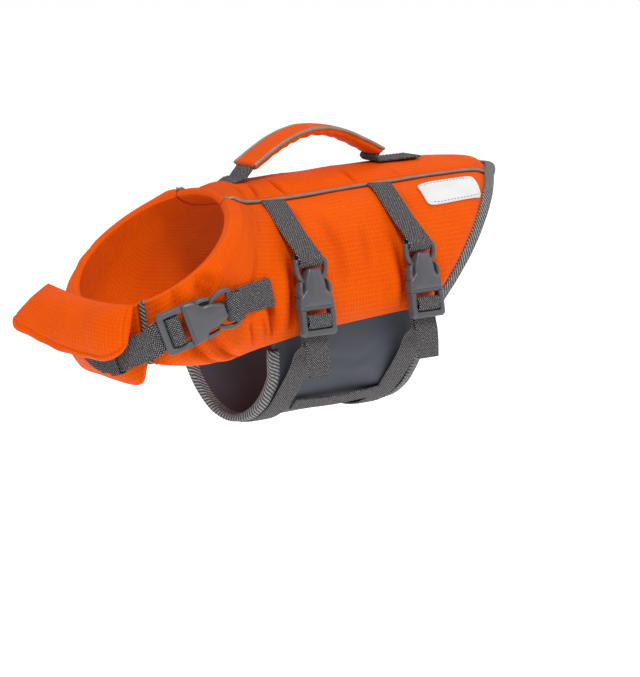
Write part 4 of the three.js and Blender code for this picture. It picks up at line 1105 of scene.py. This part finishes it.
def labelPlace(u, v):
    # a point of a square is drawn in by its longest side over (|u| ** 7 + |v| ** 7) ** (1 / 7),
    # then halving finds the line of the left flank on which it lies
    size = np.maximum(np.abs(u), np.abs(v))
    pull = size / np.maximum((np.abs(u) ** 7 + np.abs(v) ** 7) ** (1 / 7), 1e-6)
    across, down = u * pull, v * pull
    along = label["fromAlong"] + (across + 1) / 2 * (label["toAlong"] - label["fromAlong"])
    share = label["fromShare"] + (down + 1) / 2 * (label["toShare"] - label["fromShare"])
    line = np.zeros_like(along)
    ahead = np.full_like(along, 2.0)
    for _ in range(24):
        middle = (line + ahead) / 2
        before = place(panels["left"], middle, share)[0] < along
        line, ahead = np.where(before, middle, line), np.where(before, ahead, middle)
    return line, share, across, down


def labelParts():
    # a rectangle with round corners laid on the left flank, its edge a raised border
    u, v = np.meshgrid(np.linspace(-1, 1, 61), np.linspace(-1, 1, 41), indexing="ij")
    line, share, across, down = labelPlace(u, v)
    edge = (1 - np.maximum(np.abs(u), np.abs(v))) * 22
    border = 0.35 * np.clip(1 - np.abs(edge - 1.3) / 1.3, 0, 1) ** 0.5
    rounded = np.sqrt(1 - (1 - np.clip(edge / 0.5, 0, 1)) ** 2)
    top = onPanel("left", line, share, label["lift"] + label["thick"] / 2)
    normal = bodyNormal(*place(panels["left"], line, share))
    half = (label["thick"] / 2 * rounded)[..., None]
    flat = np.stack([across * 20, down * 10], axis=-1)
    return shellPart(top + normal * (half + (border * rounded)[..., None]), top - normal * half, flat)


addPiece("labelPatch", [labelParts()], looks["label"], ["label_patch"])
print("label made")


neckBuckle = {"along": 259.0, "angle": 106.0, "lift": 11}
neckLoop = {"along": 252.0, "angle": 91.0}
neckTab = {"fromAlong": 218.0, "fromAngle": 75.0, "shares": [0, 0.16, 0.32, 0.48, 0.64, 0.76], "lift": [0.5, 0.5, 0.5, 0.6, 1.0, 1.7]}
neckBase = {
    "along": [262.5, 262.5, 262.3, 262.1, 262.6, 265.5, 268.5, 269, 266, 260, 252, 244, 236, 230, 224],
    "angle": [130, 138, 147, 156, 165, 175, 186, 197, 209, 222, 235, 246, 256, 265, 274],
    "lift": [5, 2.8, 1.1, 0.3, 0.3, 0.6, 0.6, 0.6, 0.8, 1, 1, 1, 1.2, 1, 1],
}
neckCentre = skin(neckBuckle["along"], neckBuckle["angle"], neckBuckle["lift"])
neckOut = bodyNormal(neckBuckle["along"], neckBuckle["angle"])
neckUp = skin(neckLoop["along"], neckLoop["angle"], neckBuckle["lift"]) - neckCentre
neckUp = unit(neckUp - neckOut * (neckUp @ neckOut))
neckLocal, neckAcross = addBuckle("neck", neckCentre, neckUp, neckOut)
webBase = foam["thick"] + web["thick"] / 2


def surfaceRows(rows, base):
    along, angle, lift = (np.asarray(rows[key], float) for key in ("along", "angle", "lift"))
    points = skin(along, angle, base + lift)
    tangent = np.gradient(points, axis=0)
    return points, unit(np.cross(-tangent, bodyNormal(along, angle)))


def underneath(points, along, angle):
    # the place on the body whose skin at 14 mm lies nearest to each point
    along, angle = np.meshgrid(np.linspace(*along, 121), np.linspace(*angle, 121), indexing="ij")
    away = np.linalg.norm(skin(along, angle, 14.0)[None] - points[:, None, None], axis=-1)
    nearest = away.reshape(len(points), -1).argmin(axis=1)
    return along.ravel()[nearest], angle.ravel()[nearest]


tabEnd = skin(neckTab["fromAlong"], neckTab["fromAngle"], 14.0)
chord = tabEnd + (neckLocal(19.8, 3.2) - tabEnd) * np.array(neckTab["shares"])[:, None]
tabAlong, tabAngle = underneath(chord, (212, 264), (66, 102))
tabPoints, tabAcross = surfaceRows({"along": tabAlong, "angle": tabAngle, "lift": neckTab["lift"]}, webBase)
tabUp = unit(tabPoints[0] - neckLocal(19.8, 3.2))
tabUp = unit(tabUp - neckOut * (tabUp @ neckOut))


def tabLocal(y, z):
    return neckLocal(19.8, z) + tabUp * (y - 19.8)


tabSide = np.cross(tabUp, neckOut)
tabSide = tabSide * np.sign(-tabSide @ tabAcross[-1])
tabFold = [tabLocal(25.5, 3.9), tabLocal(23.2, 5.2), *loopFold(tabLocal, [(3, 0.2)])]
tabPoints = tabPoints - ((tabPoints - neckLocal(19.8, 3.2)) @ tabSide)[:, None] * tabSide
turned = np.array(neckTab["shares"])[:, None] / 0.76
ways = np.concatenate([tabSide * turned - tabAcross * (1 - turned), np.tile(tabSide, (len(tabFold), 1))])
tabPart, tabAt, tabA, tabB = strapPart(np.concatenate([tabPoints, tabFold]), ways)
addPiece("neckTab", [tabPart], looks["web"], ["web_neck_tab"])
basePoints, baseAcross = surfaceRows(neckBase, webBase)
tailPoints, _ = surfaceRows({key: values[:5] for key, values in neckBase.items()}, webBase + web["thick"] + 0.45)
threaded = np.array([neckLocal(*row) for row in threading])
neckPart, neckAt, neckA, neckB = strapPart(
    np.concatenate([tailPoints[::-1], threaded, basePoints]),
    np.concatenate([baseAcross[:5][::-1], np.tile(neckAcross, (len(threaded), 1)), baseAcross]),
    spacing=1.0,
)
addPiece("neckWeb", [neckPart], looks["web"], ["web_neck"])

keeper = {"row": 3, "wall": 1.0, "length": 7}
keeperOut = bodyNormal(neckBase["along"][3], neckBase["angle"][3])
keeperUp = basePoints[2] - basePoints[4]
keeperUp = unit(keeperUp - keeperOut * (keeperUp @ keeperOut))
keeperSide = np.cross(keeperUp, keeperOut)
keeperAt = basePoints[3] + keeperOut * (web["thick"] + 0.45) / 2


def keeperPart():
    # a flat band bent into a closed ring: its path is a rounded rectangle across the strap
    path = cornered([(8.9, -2.7), (8.9, 2.7), (-8.9, 2.7), (-8.9, -2.7)], 1.0, 64)
    path = np.concatenate([path, path[:1]])
    at = keeperAt + keeperSide * path[:, :1] + keeperOut * path[:, 1:]
    ahead = np.roll(path[:-1], -1, axis=0) - np.roll(path[:-1], 1, axis=0)
    ahead = unit(np.concatenate([ahead, ahead[:1]]))
    outward = keeperSide * ahead[:, 1:] - keeperOut * ahead[:, :1]
    section = strapSection(keeper["length"], keeper["wall"])
    grid = at[:, None] + keeperUp * section[None, :, :1] + outward[:, None] * section[None, :, 1:]
    flat = np.stack(np.broadcast_arrays(travelled(at)[:, None], section[None, :, 0]), axis=-1)
    points, quads, flat = gridPart(grid, flat)
    return points, facingOut(points, quads), flat


addPiece("neckKeeper", [keeperPart()], looks["web"], ["web_neck_keeper"])
print("neck strap made")


chinFloat = {
    "halfWidth": 43, "length": 33, "backX": -187.2, "backZ": -51.7, "droop": 57, "twist": 22, "over": 8.6, "under": 1.4,
}


def floatSheets():
    # a padded flap: both cloths leave the back edge, crown between the edges and meet in a rim
    across, out = np.meshgrid(
        np.sin(np.pi / 2 * np.linspace(-1, 1, 121)), (1 - np.cos(np.pi * np.linspace(0, 1, 61))) / 2, indexing="ij",
    )
    start = np.stack([
        np.full_like(across, chinFloat["backX"]), chinFloat["halfWidth"] * across, chinFloat["backZ"] + 3 * across ** 2,
    ], axis=-1)
    droop = np.radians(chinFloat["droop"] - chinFloat["twist"] * across)
    wavy = 1 + 0.012 * np.sin(across * 7 + 0.8) * out + 0.006 * np.sin(across * 17) * out
    near, far = np.clip(-across, 0, 1), np.clip(across, 0, 1)
    reach = chinFloat["length"] * out * (1 - 0.26 * near ** 5 - 0.1 * near ** 16 + 0.07 * far ** 2 - 0.2 * far ** 14) * wavy
    side = np.maximum(np.cos(np.pi / 2 * np.abs(across) ** 2.4), 0) ** 0.7
    seam = np.exp(-(((1 - out) * 34 - 2.6) / 0.9) ** 2) * 1.2 + np.exp(-(((1 - np.abs(across)) * 43 - 2.6) / 0.9) ** 2) * 0.8
    bumps = 0.45 * np.sin(across * 9 + 2 * out) * np.sin(np.pi * out) * side
    bumps = bumps + 0.5 * np.sin(across * 5.3 - 6 * out + 1.0) * np.sin(np.pi * out) * side
    over = chinFloat["over"] * side * np.sin(np.pi * out ** 0.85) ** 0.75 - seam + bumps
    under = chinFloat["under"] * side * np.sin(np.pi * out ** 1.45)
    edge = np.minimum(np.minimum(out, 1 - out) * 34, (1 - np.abs(across)) * 43)
    rim = 0.9 * np.sqrt(1 - (1 - np.clip(edge / 0.8, 0, 1)) ** 2)
    over = np.maximum(over, 0) + rim
    sheets = []
    for height in (over, -under - rim):
        offset = np.stack([
            -reach * np.cos(droop) - height * np.sin(droop), np.zeros_like(reach),
            -reach * np.sin(droop) + height * np.cos(droop),
        ], axis=-1)
        sheets.append(start + offset)
    flat = np.stack([chinFloat["halfWidth"] * across, reach], axis=-1)
    return sheets[0], sheets[1], flat


floatPiece = addPiece("chinFloat", [shellPart(*floatSheets())], looks["shell"], ["chin_float"])
print("float made")


stitch = {"pitch": 2.7, "length": 2.0, "radius": 0.24}


def stitchParts(path, outward, pitch=None):
    # one small capsule for each stitch, its middle proud of the cloth and its ends sunk in
    both = resampled(np.concatenate([path, outward * 1e-3], axis=-1), (pitch or stitch["pitch"]) / 2)
    at, up = both[::2, :3], unit(both[::2, 3:])
    ahead = unit(np.gradient(both[:, :3], axis=0))[::2]
    side = unit(np.cross(ahead, up))
    t = np.array([-1, -0.75, 0, 0.75, 1])
    radius = np.array([0, 0.8, 1, 0.8, 0]) * stitch["radius"]
    drop = np.array([-0.25, -0.02, 0.08, -0.02, -0.25])
    turn = np.linspace(0, 2 * np.pi, 7)
    x = t[:, None] * stitch["length"] / 2 + 0 * turn
    y = radius[:, None] * np.cos(turn)
    z = radius[:, None] * np.sin(turn) + drop[:, None]
    grid = (
        at[:, None, None] + ahead[:, None, None] * x[None, ..., None]
        + side[:, None, None] * y[None, ..., None] + up[:, None, None] * z[None, ..., None]
    )
    count, rows, columns = grid.shape[:3]
    one = gridQuads(rows, columns)
    quads = (one[None] + (np.arange(count) * rows * columns)[:, None, None]).reshape(-1, 4)
    points = grid.reshape(-1, 3)
    flat = np.zeros((len(points), 2))
    return points, facingOut(points, quads), flat


def rowOnPanel(key, lines, shares, above=0.1):
    points = onPanel(key, lines, shares, above)
    return stitchParts(points, bodyNormal(*place(panels[key], lines, shares)))


def rowBeside(at, a, b, x, y, start=0, stop=None):
    # a row on a strap or binding at x across it and y out of it
    span = slice(start, stop)
    return stitchParts(at[span] + a[span] * x + b[span] * y, b[span])


downPanel = np.linspace(0.03, 0.97, 60)
orangeRows = [rowOnPanel(key, np.full(60, line), downPanel) for key in ("left", "right") for line in (4.0, 5.0)]
addPiece("seamStitching", orangeRows, looks["orangeThread"])
greyRows = []
for _, at, a, b in (rearBinding, closureBinding):
    greyRows.append(rowBeside(at, a, b, 4.3, 6.35))
for _, at, a, b in (frontBinding, backBinding):
    greyRows.append(rowBeside(at, a, b, 3.6, 3.85))
tabRows = slice(1, 23)
for x in (-6.8, 6.8):
    greyRows.append(stitchParts(tabAt[tabRows] + tabA[tabRows] * x + tabB[tabRows] * 0.85, tabB[tabRows]))
for k in (1, 22):
    across = np.linspace(-6.8, 6.8, 8)[:, None]
    greyRows.append(stitchParts(tabAt[k] + tabA[k] * across + tabB[k] * 0.85, np.tile(tabB[k], (8, 1))))
slant = np.linspace(0, 1, 22)[:, None]
for way in (-1, 1):
    greyRows.append(stitchParts(tabAt[tabRows] + tabA[tabRows] * way * 6.8 * (2 * slant - 1) + tabB[tabRows] * 0.85, tabB[tabRows]))
for name, (at, a, b) in footPaths.items():
    out = b if b[-3][2] > 0 else -b
    for x in (-6.6, 6.6):
        greyRows.append(rowBeside(at[-26:], a[-26:], out[-26:], x, 0.85))
    greyRows.append(stitchParts(np.linspace(at[-3] - a[-3] * 6.6, at[-3] + a[-3] * 6.6, 8) + out[-3] * 0.85, np.tile(out[-3], (8, 1))))
side = np.linspace(-0.9, 0.9, 40)
ring = np.concatenate([[side, 0 * side - 0.82], [0 * side + 0.9, side], [-side, 0 * side + 0.82], [0 * side - 0.9, -side]], axis=1)
line, share, _, _ = labelPlace(ring[0], ring[1] * np.where(np.abs(ring[0]) >= 0.9, 0.9, 1))
greyRows.append(rowOnPanel("left", line, share, label["lift"] + label["thick"] - 0.05))
addPiece("webStitching", greyRows, looks["greyThread"])
print("stitching made")


studio = {"floor": -0.285, "size": 40.0, "world": 0.48, "glow": 0.55}
floorMesh = bpy.data.meshes.new("floor")
s = studio["size"]
floorMesh.from_pydata([(-s, -s, 0), (s, -s, 0), (s, s, 0), (-s, s, 0)], [], [(0, 1, 2, 3)])
floorMesh.transform(Matrix.Translation((0, 0, studio["floor"])))
floor = bpy.data.objects.new("floor", floorMesh)
bpy.context.collection.objects.link(floor)
floorMaterial, floorTree, floorShader = startMaterial("paleFloor", 0.9)
floorShader.inputs["Base Color"].default_value = (0.9, 0.9, 0.9, 1)
floorShader.inputs["Emission Color"].default_value = (1, 1, 1, 1)
floorShader.inputs["Emission Strength"].default_value = studio["glow"]
floorMesh.materials.append(floorMaterial)

world = bpy.data.worlds.new("studio")
bpy.context.scene.world = world
world.use_nodes = True
world.node_tree.nodes["Background"].inputs[0].default_value = (1.0, 1.0, 1.0, 1)
world.node_tree.nodes["Background"].inputs[1].default_value = studio["world"]

lamps = {
    "key": {"at": (-0.9, -1.1, 1.8), "size": 0.55, "watts": 36},
    "top": {"at": (0.3, 0.2, 1.8), "size": 1.6, "watts": 9},
    "tail": {"at": (1.4, -0.9, 0.7), "size": 1.0, "watts": 5},
}
for name, lamp in lamps.items():
    light = bpy.data.lights.new(name, "AREA")
    light.energy = lamp["watts"]
    light.size = lamp["size"]
    light.shape = "DISK"
    holder = bpy.data.objects.new(name, light)
    holder.location = lamp["at"]
    holder.rotation_euler = (Vector((-0.02, 0, -0.05)) - Vector(lamp["at"])).to_track_quat("-Z", "Y").to_euler()
    bpy.context.collection.objects.link(holder)
bpy.context.scene.view_settings.view_transform = "Standard"
print("stage set")

bpy.context.view_layer.update()
